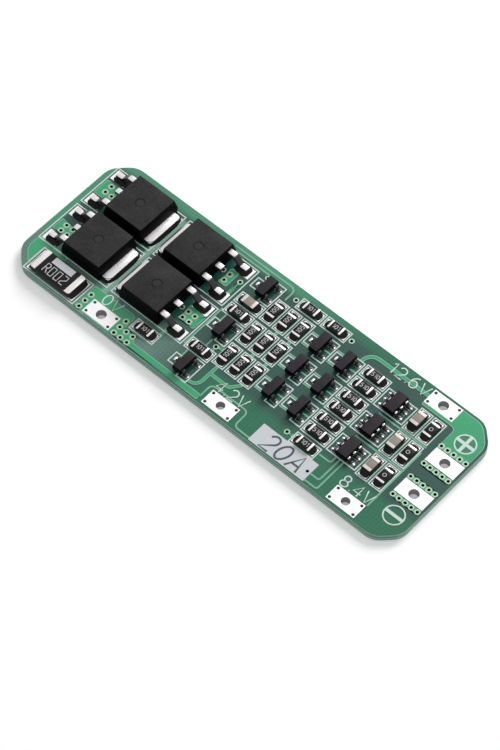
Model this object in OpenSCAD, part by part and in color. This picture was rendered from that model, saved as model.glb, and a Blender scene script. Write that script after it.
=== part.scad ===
// Three-cell lithium battery management board with its parts soldered on one face.
// Units are millimetres. +X runs along the board to the output terminals, +Y to the
// far edge, +Z up. The origin is the middle of the underside that the board rests on.

/* [Board] */
// Thickness of the glass-epoxy sheet
board_thickness = 1.0; // [0.8:0.1:1.6]
// Length cut off each corner, along either edge
corner_chamfer = 2.35; // [1.5:0.05:3]
// Radius that blends each chamfer into the edges
corner_radius = 2.5; // [1:0.1:2.8]
// Thickness of the tinned copper on both faces
pad_thickness = 0.05; // [0.04:0.01:0.08]
// Height of the masked copper tracks above the sheet
track_height = 0.04; // [0.03:0.005:0.05]
// Height of the printed legend above the sheet
legend_height = 0.045; // [0.045:0.001:0.05]
// Width of the printed outlines
legend_line = 0.15; // [0.1:0.01:0.2]
// Bare strip between the copper pours and the board's edge
pour_margin = 0.33; // [0.25:0.01:0.5]

/* [Terminals] */
// Length of a wire terminal along the board
terminal_length = 4.14; // [3.8:0.02:4.5]
// Depth of a wire terminal across the board
terminal_depth = 2.16; // [2:0.02:2.4]
// Diameter of the wire hole in the four main terminals
main_hole = 1.3; // [1:0.05:1.5]
// Diameter of the wire hole in the two cell taps
tap_hole = 1.1; // [0.8:0.05:1.3]
// Diameter of the stitching holes and vias
via_hole = 0.4; // [0.3:0.02:0.5]
// Wall of the plating inside each hole
plating = 0.05; // [0.03:0.01:0.08]
// Width of the ring round a via
via_ring = 0.16; // [0.12:0.01:0.2]
// Spacing of the vias beside the output terminals
via_pitch = 0.89; // [0.8:0.01:1]
// Distance between the centres of the two output terminals
output_spacing = 5.42; // [5:0.02:6]
// Distance from an output terminal's centre to its rows of vias
via_row_offset = 1.55; // [1.45:0.01:1.7]

/* [Layout] */
// Gap between the printed outlines of small parts
frame_gap = 0.165; // [0.15:0.005:0.25]
// Distance from the left edge to the first printed outline
left_margin = 0.7; // [0.5:0.05:1]
// Distance from the near edge to the shunt's outline
near_margin = 0.15; // [0.1:0.01:0.3]
// Distance from the far edge to the transistors' outlines
far_margin = 1.55; // [1.4:0.05:2]
// Gap between the two columns of power transistors
power_column_gap = 0.55; // [0.5:0.05:1]
// Gap between the two rows of power transistors
power_row_gap = 0.5; // [0.4:0.05:1]
// Gap between the shunt's outline and the power transistors
shunt_gap = 0.6; // [0.5:0.05:1]
// Gap between the power transistors and the small parts
signal_gap = 0.35; // [0.3:0.05:0.6]
// Gap between the small parts and the output terminals
output_gap = 0.93; // [0.85:0.01:1.5]
// Distance from one cell's circuit to the next, the same for all three
cell_pitch = 4.1; // [4.05:0.05:4.5]
// Height of the middle cell's circuit above the board's centre line
cell_offset = 1.1; // [0.9:0.05:1.3]

/* [Chip resistors and capacitors] */
// Length of a chip
chip_length = 2.0; // [1.8:0.05:2.2]
// Width of a chip
chip_width = 1.25; // [1.1:0.05:1.3]
// Height of a chip resistor
resistor_height = 0.5; // [0.4:0.05:0.6]
// Height of a chip capacitor
capacitor_height = 1.2; // [0.8:0.05:1.3]
// Length of the metal end on a chip
chip_end = 0.36; // [0.3:0.02:0.45]
// Thickness of the metal round a chip's end
end_plate = 0.04; // [0.03:0.01:0.06]
// Length of the solder land past a chip's end
land_toe = 0.62; // [0.5:0.02:0.7]
// Clear space between a land and its printed outline
land_clearance = 0.16; // [0.1:0.02:0.25]

/* [Small transistors and cell monitors] */
// Length of a small package, across the board
small_body_length = 2.9; // [2.7:0.05:3]
// Width of a small transistor's body
transistor_body_width = 1.3; // [1.2:0.05:1.4]
// Width of a cell monitor's body
monitor_body_width = 1.6; // [1.5:0.05:1.7]
// Height of a small package above its lands
small_body_height = 1.1; // [0.9:0.05:1.2]
// Reach of a small package's lead past the body
small_lead_reach = 0.58; // [0.5:0.02:0.65]
// Width of a small package's lead
small_lead_width = 0.4; // [0.3:0.02:0.45]
// Thickness of a small package's lead
small_lead_thickness = 0.13; // [0.1:0.01:0.16]
// Spacing of a small package's leads
small_lead_pitch = 0.95; // [0.9:0.01:1]

/* [Power transistors] */
// Length of a power transistor's body, along the board
power_body_length = 6.1; // [5.9:0.05:6.3]
// Width of a power transistor's body, across the board
power_body_width = 6.6; // [6.4:0.05:6.7]
// Height of a power transistor above its lands
power_body_height = 2.3; // [2.1:0.05:2.4]
// Thickness of a power transistor's leads and tab
power_lead_thickness = 0.5; // [0.4:0.02:0.55]
// Width of a power transistor's lead
power_lead_width = 0.78; // [0.7:0.02:0.9]
// Distance between the two leads of a power transistor
power_lead_spacing = 4.57; // [4.4:0.01:4.7]
// Reach of a power transistor's leads past the body
power_lead_reach = 2.75; // [2.5:0.05:2.85]
// Reach of the cut middle lead past the body
power_stub_reach = 0.8; // [0.6:0.05:1]
// Reach of the metal tab past the body
tab_reach = 1.05; // [0.9:0.05:1.15]
// Width of the metal tab
tab_width = 5.38; // [5.2:0.02:5.5]
// Radius of the tab's free corners
tab_corner = 0.75; // [0.4:0.05:1]

/* [Current shunt] */
// Length of the shunt resistor
shunt_length = 6.35; // [6:0.05:6.5]
// Width of the shunt resistor
shunt_width = 3.15; // [3:0.05:3.3]
// Height of the shunt resistor
shunt_height = 0.8; // [0.6:0.05:1]
// Length of each metal end on top of the shunt
shunt_end = 0.95; // [0.7:0.05:1.2]

/* [Hidden] */
$fn = 24;

// Levels, from the underside up
board_bottom = pad_thickness;
board_top = board_bottom + board_thickness;
part_base = board_top + pad_thickness;

// Printed outlines: every part's outline follows from its package
chip_frame_length = chip_length + 2 * (land_toe + land_clearance + legend_line / 2);
chip_frame_width = chip_width + 2 * (land_clearance + legend_line * 0.75);
transistor_lead_span = transistor_body_width + 2 * small_lead_reach;
transistor_frame_length = transistor_lead_span + 1.24;
transistor_frame_width = small_body_length + 0.6;
transistor_shift = 0.15;
monitor_lead_span = monitor_body_width + 2 * small_lead_reach;
monitor_frame_length = monitor_lead_span + 1.59;
monitor_frame_width = small_body_length + 0.1;
lead_end_space = 0.95;
tab_end_space = 0.3;
power_frame_length = lead_end_space + power_lead_reach + power_body_length + tab_reach + tab_end_space;
power_frame_width = power_body_width + 0.1;
shunt_frame_length = shunt_length + 1.75;
shunt_frame_width = shunt_width + 0.65;

// Divider resistors stand in three columns that share their outlines' sides
divider_pitch = chip_frame_width + 0.2;
divider_block = 2 * divider_pitch + chip_frame_width;

// The board is as large as the rows and columns of outlines need
signal_block = 2 * chip_frame_length + divider_block + 2 * transistor_frame_length
    + monitor_frame_length + 2 * chip_frame_width + 7 * frame_gap;
board_length = left_margin + 2 * power_frame_length + power_column_gap + signal_gap
    + signal_block + output_gap + terminal_length + pour_margin;
board_width = near_margin + shunt_frame_width + shunt_gap + 2 * power_frame_width
    + power_row_gap + far_margin;
left_edge = -board_length / 2;
near_edge = -board_width / 2;
far_edge = board_width / 2;

// Columns, from the left edge to the right
power_left_x = left_edge + left_margin + power_frame_length / 2;
power_right_x = power_left_x + power_frame_length + power_column_gap;
driver_x = power_right_x + (power_frame_length + chip_frame_length) / 2 + signal_gap;
divider_x = driver_x + (chip_frame_length + divider_block) / 2 + frame_gap;
switch_1_x = divider_x + (divider_block + transistor_frame_length) / 2 + frame_gap;
switch_2_x = switch_1_x + transistor_frame_length + frame_gap;
bleed_x = switch_2_x + (transistor_frame_length + chip_frame_length) / 2 + frame_gap;
monitor_x = bleed_x + (chip_frame_length + monitor_frame_length) / 2 + frame_gap;
capacitor_x = monitor_x + (monitor_frame_length + chip_frame_width) / 2 + frame_gap;
link_x = capacitor_x + chip_frame_width + frame_gap;
output_x = link_x + (chip_frame_width + terminal_length) / 2 + output_gap;

// Rows, from the near edge to the far one
shunt_x = left_edge + left_margin + 1.65 + shunt_frame_length / 2;
shunt_y = near_edge + near_margin + shunt_frame_width / 2;
power_near_y = shunt_y + (shunt_frame_width + power_frame_width) / 2 + shunt_gap;
power_far_y = power_near_y + power_frame_width + power_row_gap;
terminal_y = far_edge - pour_margin - terminal_depth / 2;
monitor_drop = 0.4;
link_drop = 0.28;
bleed_spread = (chip_frame_width + 0.2) / 2;

// The driver column is packed downwards from its first transistor
driver_top = power_far_y + power_frame_width / 2 + 0.25;
driver_1_y = driver_top - transistor_frame_width / 2;
driver_capacitor_y = driver_1_y - (transistor_frame_width + chip_frame_width) / 2 - frame_gap;
driver_resistor_1_y = driver_capacitor_y - chip_frame_width - frame_gap;
driver_2_y = driver_resistor_1_y - (chip_frame_width + transistor_frame_width) / 2 - frame_gap;
driver_via_space = 1.2;
driver_resistor_2_y = driver_2_y - (transistor_frame_width + chip_frame_width) / 2 - driver_via_space;
driver_3_y = driver_resistor_2_y - (chip_frame_width + transistor_frame_width) / 2 - frame_gap;

// Wire terminals: [name, x, y, hole diameter]
tap_x = divider_x + divider_pitch;
cell_terminal_x = link_x + (chip_frame_width - terminal_length) / 2;
ground_x = shunt_x + (shunt_frame_length + terminal_length) / 2 + 1.42;
terminals = [
    ["battery_negative_terminal", ground_x, -terminal_y, main_hole],
    ["cell_1_tap_terminal", tap_x, -terminal_y, tap_hole],
    ["cell_2_tap_terminal", cell_terminal_x, -terminal_y, tap_hole],
    ["battery_positive_terminal", cell_terminal_x, terminal_y, main_hole],
    ["output_positive_terminal", output_x, output_spacing / 2, main_hole],
    ["output_negative_terminal", output_x, -output_spacing / 2, main_hole],
];
stitched = 4; // how many of the terminals have a stitching hole in each corner
stitch_x = terminal_length / 2 - 0.33;
stitch_y = terminal_depth / 2 - 0.32;

// Parts that stand alone: [x, y, turn]
top_resistor_y = cell_offset + cell_pitch + chip_frame_length / 2 + chip_frame_width / 2 + 0.3;
top_resistor_1_x = divider_x + (divider_block - chip_frame_length) / 2;
top_resistor_2_x = top_resistor_1_x + chip_frame_length + frame_gap;
ground_reach = 3.3; // from the ground terminal's centre to the ends of its wide pour
ground_step = 2; // length of the narrower part with the last vias
sense_resistor_x = ground_x + ground_reach + 2.1;
sense_resistor_y = power_near_y - (power_frame_width + chip_frame_width) / 2 - 0.55;
bleed_end_y = cell_offset - 2 * cell_pitch + bleed_spread;
single_resistors = [
    [top_resistor_1_x, top_resistor_y, 0],
    [top_resistor_2_x, top_resistor_y, 0],
    [driver_x, driver_resistor_1_y, 0],
    [driver_x, driver_resistor_2_y, 0],
    [sense_resistor_x, sense_resistor_y, 0],
    [bleed_x, bleed_end_y, 0],
];

// The three cell circuits repeat; the third cell's is the nearest
cells = [1, 2, 3];
function cell_y(cell) = cell_offset + (2 - cell) * cell_pitch;
function divider_places(cell) = [for (i = [-1:1]) [divider_x + i * divider_pitch, cell_y(cell), 90]];
function bleed_places(cell) = [for (s = [1, -1]) [bleed_x, cell_y(cell) + s * bleed_spread, 0]];
function link_places(cell) = [[link_x, cell_y(cell) - link_drop, 90]];
function cell_resistors(cell) = concat(divider_places(cell), bleed_places(cell), link_places(cell));
all_resistors = concat(single_resistors, [for (cell = cells) each cell_resistors(cell)]);
capacitors = concat(
    [[driver_x, driver_capacitor_y, 0]],
    [for (cell = cells) [capacitor_x, cell_y(cell) - link_drop, 90]]
);
monitors = [for (cell = cells) [monitor_x, cell_y(cell) - monitor_drop, 0]];
transistors = concat(
    [for (y = [driver_1_y, driver_2_y, driver_3_y]) [driver_x, y, 0]],
    [for (cell = cells) [switch_1_x, cell_y(cell), 0]],
    [for (cell = cells) [switch_2_x, cell_y(cell), 0]]
);
power_transistors = [
    [power_left_x, power_far_y, 0],
    [power_left_x, power_near_y, 0],
    [power_right_x, power_near_y, 180],
    [power_right_x, power_far_y, 180],
];
power_body_shift = (lead_end_space + power_lead_reach - tab_reach - tab_end_space) / 2;

// Small rounded routes, given as corner points
function unit(v) = v / norm(v);
function across(v) = [-v[1], v[0]];
function bend(a, b, c, r, steps) =
    let (
        u = unit(a - b),
        v = unit(c - b),
        corner = acos(u * v),
        middle = b + unit(u + v) * r / sin(corner / 2),
        first = b + u * r / tan(corner / 2) - middle,
        start = atan2(first[1], first[0]),
        side = u[0] * v[1] - u[1] * v[0] > 0 ? -1 : 1
    )
    [for (i = [0:steps]) middle + r * [cos(start + side * i * (180 - corner) / steps),
        sin(start + side * i * (180 - corner) / steps)]];
function rounded(points, r, steps) = concat(
    [points[0]],
    [for (i = [1:len(points) - 2]) each bend(points[i - 1], points[i], points[i + 1], r, steps)],
    [points[len(points) - 1]]
);
function heading(points, i) =
    i == 0 ? unit(points[1] - points[0])
    : i == len(points) - 1 ? unit(points[i] - points[i - 1])
    : unit(unit(points[i] - points[i - 1]) + unit(points[i + 1] - points[i]));
function flank(points, i, width) =
    let (
        normal = across(heading(points, i)),
        edge = across(unit(points[max(i, 1)] - points[max(i, 1) - 1]))
    )
    points[i] + normal * width / 2 / (normal * edge);
function strip(points, width) = concat(
    [for (i = [0:len(points) - 1]) flank(points, i, width)],
    [for (i = [len(points) - 1:-1:0]) flank(points, i, -width)]
);

module place(spot) {
    translate([spot[0], spot[1], 0]) rotate(spot[2]) children();
}

module plate(size) {
    square(size, center = true);
}

module box(size, base) {
    translate([-size[0] / 2, -size[1] / 2, base]) cube(size);
}

// ---- Board ----

function corner_points(margin) =
    let (
        x = board_length / 2 - margin,
        y = board_width / 2 - margin,
        cut = corner_chamfer - margin * (2 - sqrt(2)),
        r = corner_radius - margin
    )
    concat(
        bend([x, 0], [x, y - cut], [x - cut, y], r, 5),
        bend([x, y - cut], [x - cut, y], [0, y], r, 5)
    );

function board_outline(margin) =
    let (corner = corner_points(margin), count = len(corner))
    concat(
        corner,
        [for (i = [count - 1:-1:0]) [-corner[i][0], corner[i][1]]],
        [for (p = corner) -p],
        [for (i = [count - 1:-1:0]) [corner[i][0], -corner[i][1]]]
    );

// Plated vias, group by group; those of a power transistor sit between its leads
power_via_places = [
    [[-4.2, 0.65], [-4.2, -0.42], [-3.2, -0.42]],
    [[-4.2, 0.1], [-3.2, 0.1], [-4.2, -0.9], [-3.2, -0.9]],
    [[-2.2, -0.65], [-3.2, -0.65], [-4.2, -0.65], [-3.2, 0.38], [-4.2, 0.38]],
    [[-2.2, -0.65], [-3.2, -0.65], [-3.2, 0.38], [-4.85, -0.65]],
];
function turned(spot, p) =
    let (c = cos(spot[2]), s = sin(spot[2]))
    [spot[0] + p[0] * c - p[1] * s, spot[1] + p[0] * s + p[1] * c];
ground_via_rows = [for (i = [0:2]) near_edge + 0.54 + i * 1.05];
ground_via_columns = [[-2.78, 3], [2.8, 3], [3.82, 2], [4.85, 2]];
gate_via = [driver_x - 0.87, driver_1_y + 1.42];
driver_via = [driver_x + 1.1, driver_2_y - transistor_frame_width / 2 - 0.55];
patch_via = [monitor_x - 1.73, near_edge + 1.5];
bleed_via = [bleed_x - chip_frame_length / 2 - 0.85, bleed_end_y];
vias = concat(
    [for (i = [0:3], p = power_via_places[i]) turned(power_transistors[i], p)],
    [for (side = [1, -1], row = [1, -1], i = [-2:2])
        [output_x + i * via_pitch, side * output_spacing / 2 + row * via_row_offset]],
    [for (c = ground_via_columns, i = [0:c[1] - 1]) [ground_x + c[0], ground_via_rows[i]]],
    [
        gate_via,
        [top_resistor_1_x - chip_frame_length / 2 - 0.46, top_resistor_y],
        [top_resistor_2_x + chip_frame_length / 2 + 0.52, top_resistor_y],
        driver_via,
        bleed_via,
        patch_via,
    ]
);

module holes(extra) {
    for (t = terminals) translate([t[1], t[2]]) {
        circle(d = t[3] + extra);
    }
    for (i = [0:stitched - 1], sx = [-1, 1], sy = [-1, 1])
        translate([terminals[i][1] + sx * stitch_x, terminals[i][2] + sy * stitch_y])
            circle(d = via_hole + extra, $fn = 14);
}

module printed_board() {
    color("#3f6b5a") translate([0, 0, board_bottom]) linear_extrude(board_thickness) difference() {
        polygon(board_outline(0));
        holes(2 * plating);
        for (v = vias) translate(v) circle(d = via_hole + 2 * plating, $fn = 14);
    }
}

// A wire terminal: tinned pads on both faces, joined by a plated hole
module terminal(t, stitches) {
    spots = [for (sx = [-1, 1], sy = [-1, 1]) [sx * stitch_x, sy * stitch_y]];
    color("#e9e7ea") translate([t[1], t[2], 0]) difference() {
        union() {
            for (z = [0, board_top]) box([terminal_length, terminal_depth, pad_thickness], z);
            cylinder(d = t[3] + 2 * plating, h = part_base);
            if (stitches) for (p = spots) translate(p)
                cylinder(d = via_hole + 2 * plating, h = part_base, $fn = 14);
        }
        translate([0, 0, -1]) cylinder(d = t[3], h = part_base + 2);
        if (stitches) for (p = spots) translate([p[0], p[1], -1])
            cylinder(d = via_hole, h = part_base + 2, $fn = 14);
    }
}

module via_barrels() {
    color("#b9cfae") for (v = vias) translate(v) difference() {
        union() {
            cylinder(d = via_hole + 2 * plating, h = part_base, $fn = 14);
            for (z = [0, board_top])
                translate([0, 0, z]) cylinder(d = via_hole + 2 * via_ring, h = pad_thickness, $fn = 14);
        }
        translate([0, 0, -1]) cylinder(d = via_hole, h = part_base + 2, $fn = 14);
    }
}

// ---- Lands, tracks and printed outlines ----

// Solder lands, each reaching a little past what is soldered to it
small_toe = 0.22;
small_land = [0.85, small_lead_width + 0.2];
power_toe = 0.6;
power_land = [2.2, power_lead_width + 0.8];
tab_toe = 0.1;
tab_land = [power_body_length + tab_reach - 0.6, tab_width + 0.3];
shunt_toe = 0.5;
chip_land = [chip_end + land_toe, chip_width - 0.05];
shunt_land = [shunt_end + shunt_toe, shunt_width + 0.1];
transistor_leads = [[-1, 0], [1, -small_lead_pitch], [1, small_lead_pitch]];
monitor_leads = [for (side = [-1, 1], i = [-1:1]) [side, i * small_lead_pitch]];

module end_lands(half, toe, land) {
    for (side = [-1, 1]) translate([side * (half + toe - land[0] / 2), 0]) plate(land);
}

module lead_lands(leads, half) {
    reach = half + small_toe - small_land[0] / 2;
    for (lead = leads) translate([lead[0] * reach, lead[1]]) plate(small_land);
}

module land_shapes() {
    for (c = concat(all_resistors, capacitors)) place(c) end_lands(chip_length / 2, land_toe, chip_land);
    for (t = transistors) place(t) translate([transistor_shift, 0])
        lead_lands(transistor_leads, transistor_lead_span / 2);
    for (m = monitors) place(m) lead_lands(monitor_leads, monitor_lead_span / 2);
    for (p = power_transistors) place(p) translate([power_body_shift, 0]) {
        for (side = [-1, 1]) translate([
            power_land[0] / 2 - power_body_length / 2 - power_lead_reach - power_toe,
            side * power_lead_spacing / 2
        ]) plate(power_land);
        translate([(power_body_length - tab_land[0]) / 2 + tab_reach + tab_toe, 0]) plate(tab_land);
    }
    translate([shunt_x, shunt_y]) end_lands(shunt_length / 2, shunt_toe, shunt_land);
}

// Where ink and masked copper stop short of a via's ring
mask_gap = 0.02;
module via_clearings() {
    for (v = vias) translate(v) circle(d = via_hole + 2 * (via_ring + mask_gap), $fn = 12);
}

module solder_lands() {
    color("#e9e7ea") translate([0, 0, board_top]) linear_extrude(pad_thickness) land_shapes();
}

// The rating patch is a plain printed field that reaches the near edge
patch_length = 8.25;
patch_base = near_edge + pour_margin / 2;
patch_size = [patch_length, bleed_end_y - chip_frame_width / 2 - patch_base];
patch_x = bleed_x + (chip_frame_length - patch_length) / 2 + 1.05;
patch_y = patch_base + patch_size[1] / 2;

module rating_patch() {
    color("#d3d8df") translate([0, 0, board_top]) linear_extrude(legend_height) difference() {
        translate([patch_x, patch_y]) plate(patch_size);
        via_clearings();
    }
}

module outline_frame(length, width) {
    difference() {
        plate([length, width]);
        plate([length - 2 * legend_line, width - 2 * legend_line]);
    }
}

// A small transistor's outline steps in round its single lead
module transistor_frame() {
    difference() {
        transistor_profile(0);
        transistor_profile(legend_line);
    }
}

module transistor_profile(inset) {
    step = [0.25, 0.83];
    half = [transistor_frame_length / 2, transistor_frame_width / 2];
    polygon([
        [inset - half[0], inset - step[1]],
        [step[0] + inset, inset - step[1]],
        [step[0] + inset, inset - half[1]],
        [half[0] - inset, inset - half[1]],
        [half[0] - inset, half[1] - inset],
        [step[0] + inset, half[1] - inset],
        [step[0] + inset, step[1] - inset],
        [inset - half[0], step[1] - inset],
    ]);
}

module legend_shapes() {
    for (c = concat(all_resistors, capacitors)) place(c) outline_frame(chip_frame_length, chip_frame_width);
    for (t = transistors) place(t) transistor_frame();
    for (m = monitors) place(m) outline_frame(monitor_frame_length, monitor_frame_width);
    for (p = power_transistors) place(p) outline_frame(power_frame_length, power_frame_width);
    translate([shunt_x, shunt_y]) outline_frame(shunt_frame_length, shunt_frame_width);
}

module printed_outlines() {
    color("#c5dbd2") translate([0, 0, board_top]) linear_extrude(legend_height) difference() {
        legend_shapes();
        land_shapes();
        via_clearings();
    }
}

// Masked copper: wide pours for the load current and thin tracks for the signals
main_track = 0.5;
broad_track = 0.43;
fine_track = 0.2;
pour_edge = 0.17; // from the near edge to the ground pour
left_pour_margin = 0.75; // the pour at the shunt stands further in from the edge
pour_round = 0.2; // radius of the pours' plain corners
pour_blend = 0.6; // radius of the corners that a pour turns round
ground_top = power_near_y - power_frame_width / 2 - shunt_gap;
track_end_x = tap_x - terminal_length / 2 - 0.59; // where the ground track turns round the first tap
power_pour_rows = [[-1.35, 1.15], [-1.3, 0.55], [-1.7, 0.8], [-1.5, 1]];
power_pour_x = [-power_frame_length / 2 + 0.3, -2.75];
last_pour_x = power_pour_x[1] - 1.28; // the last one leaves room for a via with its own track

// An outline from its corners, each as [x, y, radius]
function blended(corners) =
    let (count = len(corners), flat = [for (c = corners) [c[0], c[1]]])
    [for (i = [0:count - 1]) each corners[i][2] > 0
        ? bend(flat[(i + count - 1) % count], flat[i], flat[(i + 1) % count], corners[i][2], 3)
        : [flat[i]]];

module span(a, b) {
    translate(a) square(b - a);
}

module track(points, width, r) {
    polygon(strip(rounded(points, r, 4), width));
}

module ground_pour() {
    start = ground_x - ground_reach;
    wide_end = ground_x + ground_reach;
    narrow_end = wide_end + ground_step;
    near_line = near_edge + pour_edge;
    step_line = near_line + 1.75;
    track_line = near_line + 0.85;
    polygon(blended([
        [start, near_line, 0],
        [track_end_x, near_line, 0],
        [track_end_x, track_line, pour_round],
        [narrow_end, track_line, pour_round],
        [narrow_end, step_line, pour_round],
        [wide_end, step_line, pour_round],
        [wide_end, ground_top, pour_blend],
        [start, ground_top, 0],
    ]));
}

module shunt_pour() {
    outline_left = shunt_x - shunt_frame_length / 2;
    pour_top = power_near_y - power_frame_width / 2;
    intersection() {
        polygon(board_outline(left_pour_margin));
        union() {
            span([left_edge, near_edge], [outline_left, pour_top]);
            span([left_edge, ground_top], [shunt_x - 0.9, pour_top]);
        }
    }
}

module positive_pour() {
    start = cell_terminal_x - terminal_length / 2;
    turn = output_x - terminal_length / 2;
    strip_line = terminal_y - terminal_depth / 2 - 0.45;
    end_line = output_spacing / 2 - via_row_offset - 0.4;
    far_corner = [board_length / 2, board_width / 2];
    intersection() {
        polygon(board_outline(pour_margin));
        polygon(blended([
            [start, strip_line, pour_round],
            [turn, strip_line, pour_blend],
            [turn, end_line, pour_round],
            [far_corner[0], end_line, 0],
            [far_corner[0], far_corner[1], 0],
            [start, far_corner[1], 0],
        ]));
    }
}

module negative_pour() {
    half = [terminal_length / 2, via_row_offset + 0.35];
    corners = [[-1, -1], [1, -1], [1, 1], [-1, 1]];
    translate([output_x, -output_spacing / 2])
        polygon(blended([for (c = corners) [c[0] * half[0], c[1] * half[1], pour_round]]));
}

// Between the leads of each power transistor
module via_pour(i) {
    rows = power_pour_rows[i];
    start = i == 3 ? last_pour_x : power_pour_x[0];
    place(power_transistors[i]) polygon(blended([
        [start, rows[0], pour_round],
        [power_pour_x[1], rows[0], pour_round],
        [power_pour_x[1], rows[1], pour_round],
        [start, rows[1], pour_round],
    ]));
}

module load_pours() {
    lone_via = power_via_places[3][3];
    ground_pour();
    shunt_pour();
    positive_pour();
    negative_pour();
    for (i = [0:3]) via_pour(i);
    place(power_transistors[3]) span([lone_via[0] - broad_track / 2, lone_via[1]],
        [lone_via[0] + broad_track / 2, power_lead_spacing / 2]);
}

// From the gate resistors round the far edge to the power transistors
module gate_tracks() {
    gate_x = power_right_x + power_frame_length / 2 + signal_gap * 0.65;
    outer_x = driver_x + chip_frame_length / 2 + 0.8;
    outer_y = driver_top + 0.65;
    inner_y = driver_top + 0.12;
    gate_start = power_right_x + 0.9;
    track([[gate_x, driver_2_y - 4.4], [gate_x, driver_2_y + 2.3]], fine_track, 0);
    track([[gate_start, outer_y], [outer_x, outer_y], [outer_x, driver_top - 1.3]], fine_track, 0.75);
    track([[gate_start, inner_y], [gate_via[0], inner_y], gate_via], fine_track, 0.3);
}

// From the driver transistors to the dividers and the sense resistor
module driver_tracks() {
    frame_half = transistor_frame_width / 2;
    chip_half = chip_frame_width / 2;
    down_x = driver_x + 3.07;
    down_y = driver_3_y - frame_half + 0.55;
    join_y = driver_resistor_2_y - 1.65;
    left_x = driver_x - 1.03;
    divider_end = cell_y(3) - chip_frame_length / 2;
    track([[down_x, divider_end], [down_x, down_y], [driver_x + 1.9, down_y]], broad_track, 1);
    track([[down_x, join_y], [tap_x - 1, join_y], [tap_x, divider_end]], broad_track, 0.6);
    for (pair = [[driver_2_y, driver_resistor_1_y], [driver_3_y, driver_resistor_2_y]])
        span([left_x - fine_track / 2, pair[0]], [left_x + fine_track / 2, pair[1] - chip_half]);
    span([driver_x, driver_resistor_2_y + chip_half], [driver_x + fine_track, driver_2_y - frame_half]);
    translate(driver_via) {
        span([-broad_track / 2, driver_resistor_2_y - driver_via[1]], [broad_track / 2, 0]);
        span([0, 0], [divider_x - divider_block / 2 - driver_via[0], broad_track]);
    }
    span([sense_resistor_x + 1.45, sense_resistor_y + chip_half],
        [sense_resistor_x + 1.8, power_near_y - power_lead_spacing / 2]);
}

// Three lines run down from the nearest monitor to the rating patch
module monitor_tracks() {
    lane_y = monitors[2][1] - monitor_frame_width / 2;
    lane_depth = [1, 3.6, 4.65];
    lane_reach = [1.65, 1.25, 1.8];
    for (i = [0:2]) {
        lane_x = monitor_x + (i - 1) * 0.55;
        track([[lane_x, lane_y], [lane_x, lane_y - lane_depth[i]],
            [lane_x - lane_reach[i], lane_y - lane_depth[i]]], fine_track, 0.3);
    }
}

module signal_tracks() {
    feed_x = bleed_x - 2.73;
    feed_y = terminal_y - 0.09;
    tap_step = near_edge + 2.9;
    patch_step = near_edge + 0.4;
    track([[cell_terminal_x - terminal_length / 2, feed_y], [feed_x, feed_y],
        [feed_x, cell_y(1) + transistor_frame_width / 2]], main_track, 1.4);
    track([[track_end_x, near_edge + 0.8], [track_end_x, tap_step], [switch_1_x, tap_step],
        [switch_1_x + 0.05, patch_step], [patch_x - patch_size[0] / 2, patch_step]], fine_track, 0.6);
    gate_tracks();
    driver_tracks();
    monitor_tracks();
    translate(bleed_via) span([0, -broad_track / 2], [0.85, broad_track / 2]);
    // A line down the right of the links, and one between each two cells' circuits
    line_x = link_x + chip_frame_width / 2 + fine_track / 2;
    track([[line_x, cell_y(1) - 3.2], [line_x, cell_y(3) - 4.4]], fine_track, 0);
    for (cell = [1, 2]) {
        gap_y = cell_y(cell) - cell_pitch / 2;
        track([[monitor_x - 0.8, gap_y - link_drop], [line_x, gap_y - link_drop]], fine_track, 0);
        for (x = [divider_x, tap_x]) translate([x + 0.1, gap_y])
            plate([broad_track, cell_pitch - chip_frame_length]);
    }
    // Short links in each row between the columns
    for (i = [3:8]) place(transistors[i]) {
        for (side = [-1, 1]) translate([-transistor_frame_length / 2 + 0.75, side]) plate([1.5, fine_track]);
        translate([transistor_frame_length / 2 - 0.5, 0]) plate([1, fine_track]);
    }
}

module copper_tracks() {
    color("#58a27f") translate([0, 0, board_top]) linear_extrude(track_height) difference() {
        union() {
            load_pours();
            signal_tracks();
        }
        for (t = terminals) translate([t[1], t[2]]) plate([terminal_length, terminal_depth]);
        translate([patch_x, patch_y]) plate(patch_size);
        legend_shapes();
        land_shapes();
        via_clearings();
    }
}

// ---- Moulded bodies, bent leads and solder ----

function draft_profile(half, slope, levels) =
    let (
        z = levels,
        low = half - slope * (z[1] - z[0]),
        high = half - slope * (z[2] - z[1])
    )
    [[-low, z[0]], [low, z[0]], [half, z[1]], [high, z[2]], [-high, z[2]], [-half, z[1]]];

// A moulded body drafts away from its parting line on all four sides. The levels are
// those of its underside, its parting line and its top
module moulded_body(size, slopes, levels) {
    intersection() {
        rotate([90, 0, 0]) linear_extrude(2 * size[1], center = true)
            polygon(draft_profile(size[0] / 2, slopes[0], levels));
        rotate([90, 0, 90]) linear_extrude(2 * size[0], center = true)
            polygon(draft_profile(size[1] / 2, slopes[1], levels));
    }
}

// A lead is one strip of metal, bent along a path that runs out and down
module bent_lead(path, r, thickness, width) {
    rotate([90, 0, 0]) linear_extrude(width, center = true) polygon(strip(rounded(path, r, 3), thickness));
}

// Solder climbs what it wets in a hollow curve
function fillet_profile(reach, height) = concat(
    [[0, 0]],
    [for (a = [0:22.5:90]) [reach * (1 - sin(a)), height * (1 - cos(a))]]
);
module solder_fillet(x, reach, height, width) {
    side = x > 0 ? 0 : 180;
    rotate([90, 0, side]) translate([abs(x), part_base, 0]) linear_extrude(width, center = true)
        polygon(fillet_profile(reach, height));
}

// ---- Power transistors ----

power_levels = [part_base, part_base + 0.9, part_base + power_body_height];
power_slopes = [0.17, 0.22];
power_pocket = 0.45;
power_shoulder = 0.68; // straight part of a lead outside the body
power_drop = 1.57; // where the sloping part of a lead reaches the board

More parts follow.
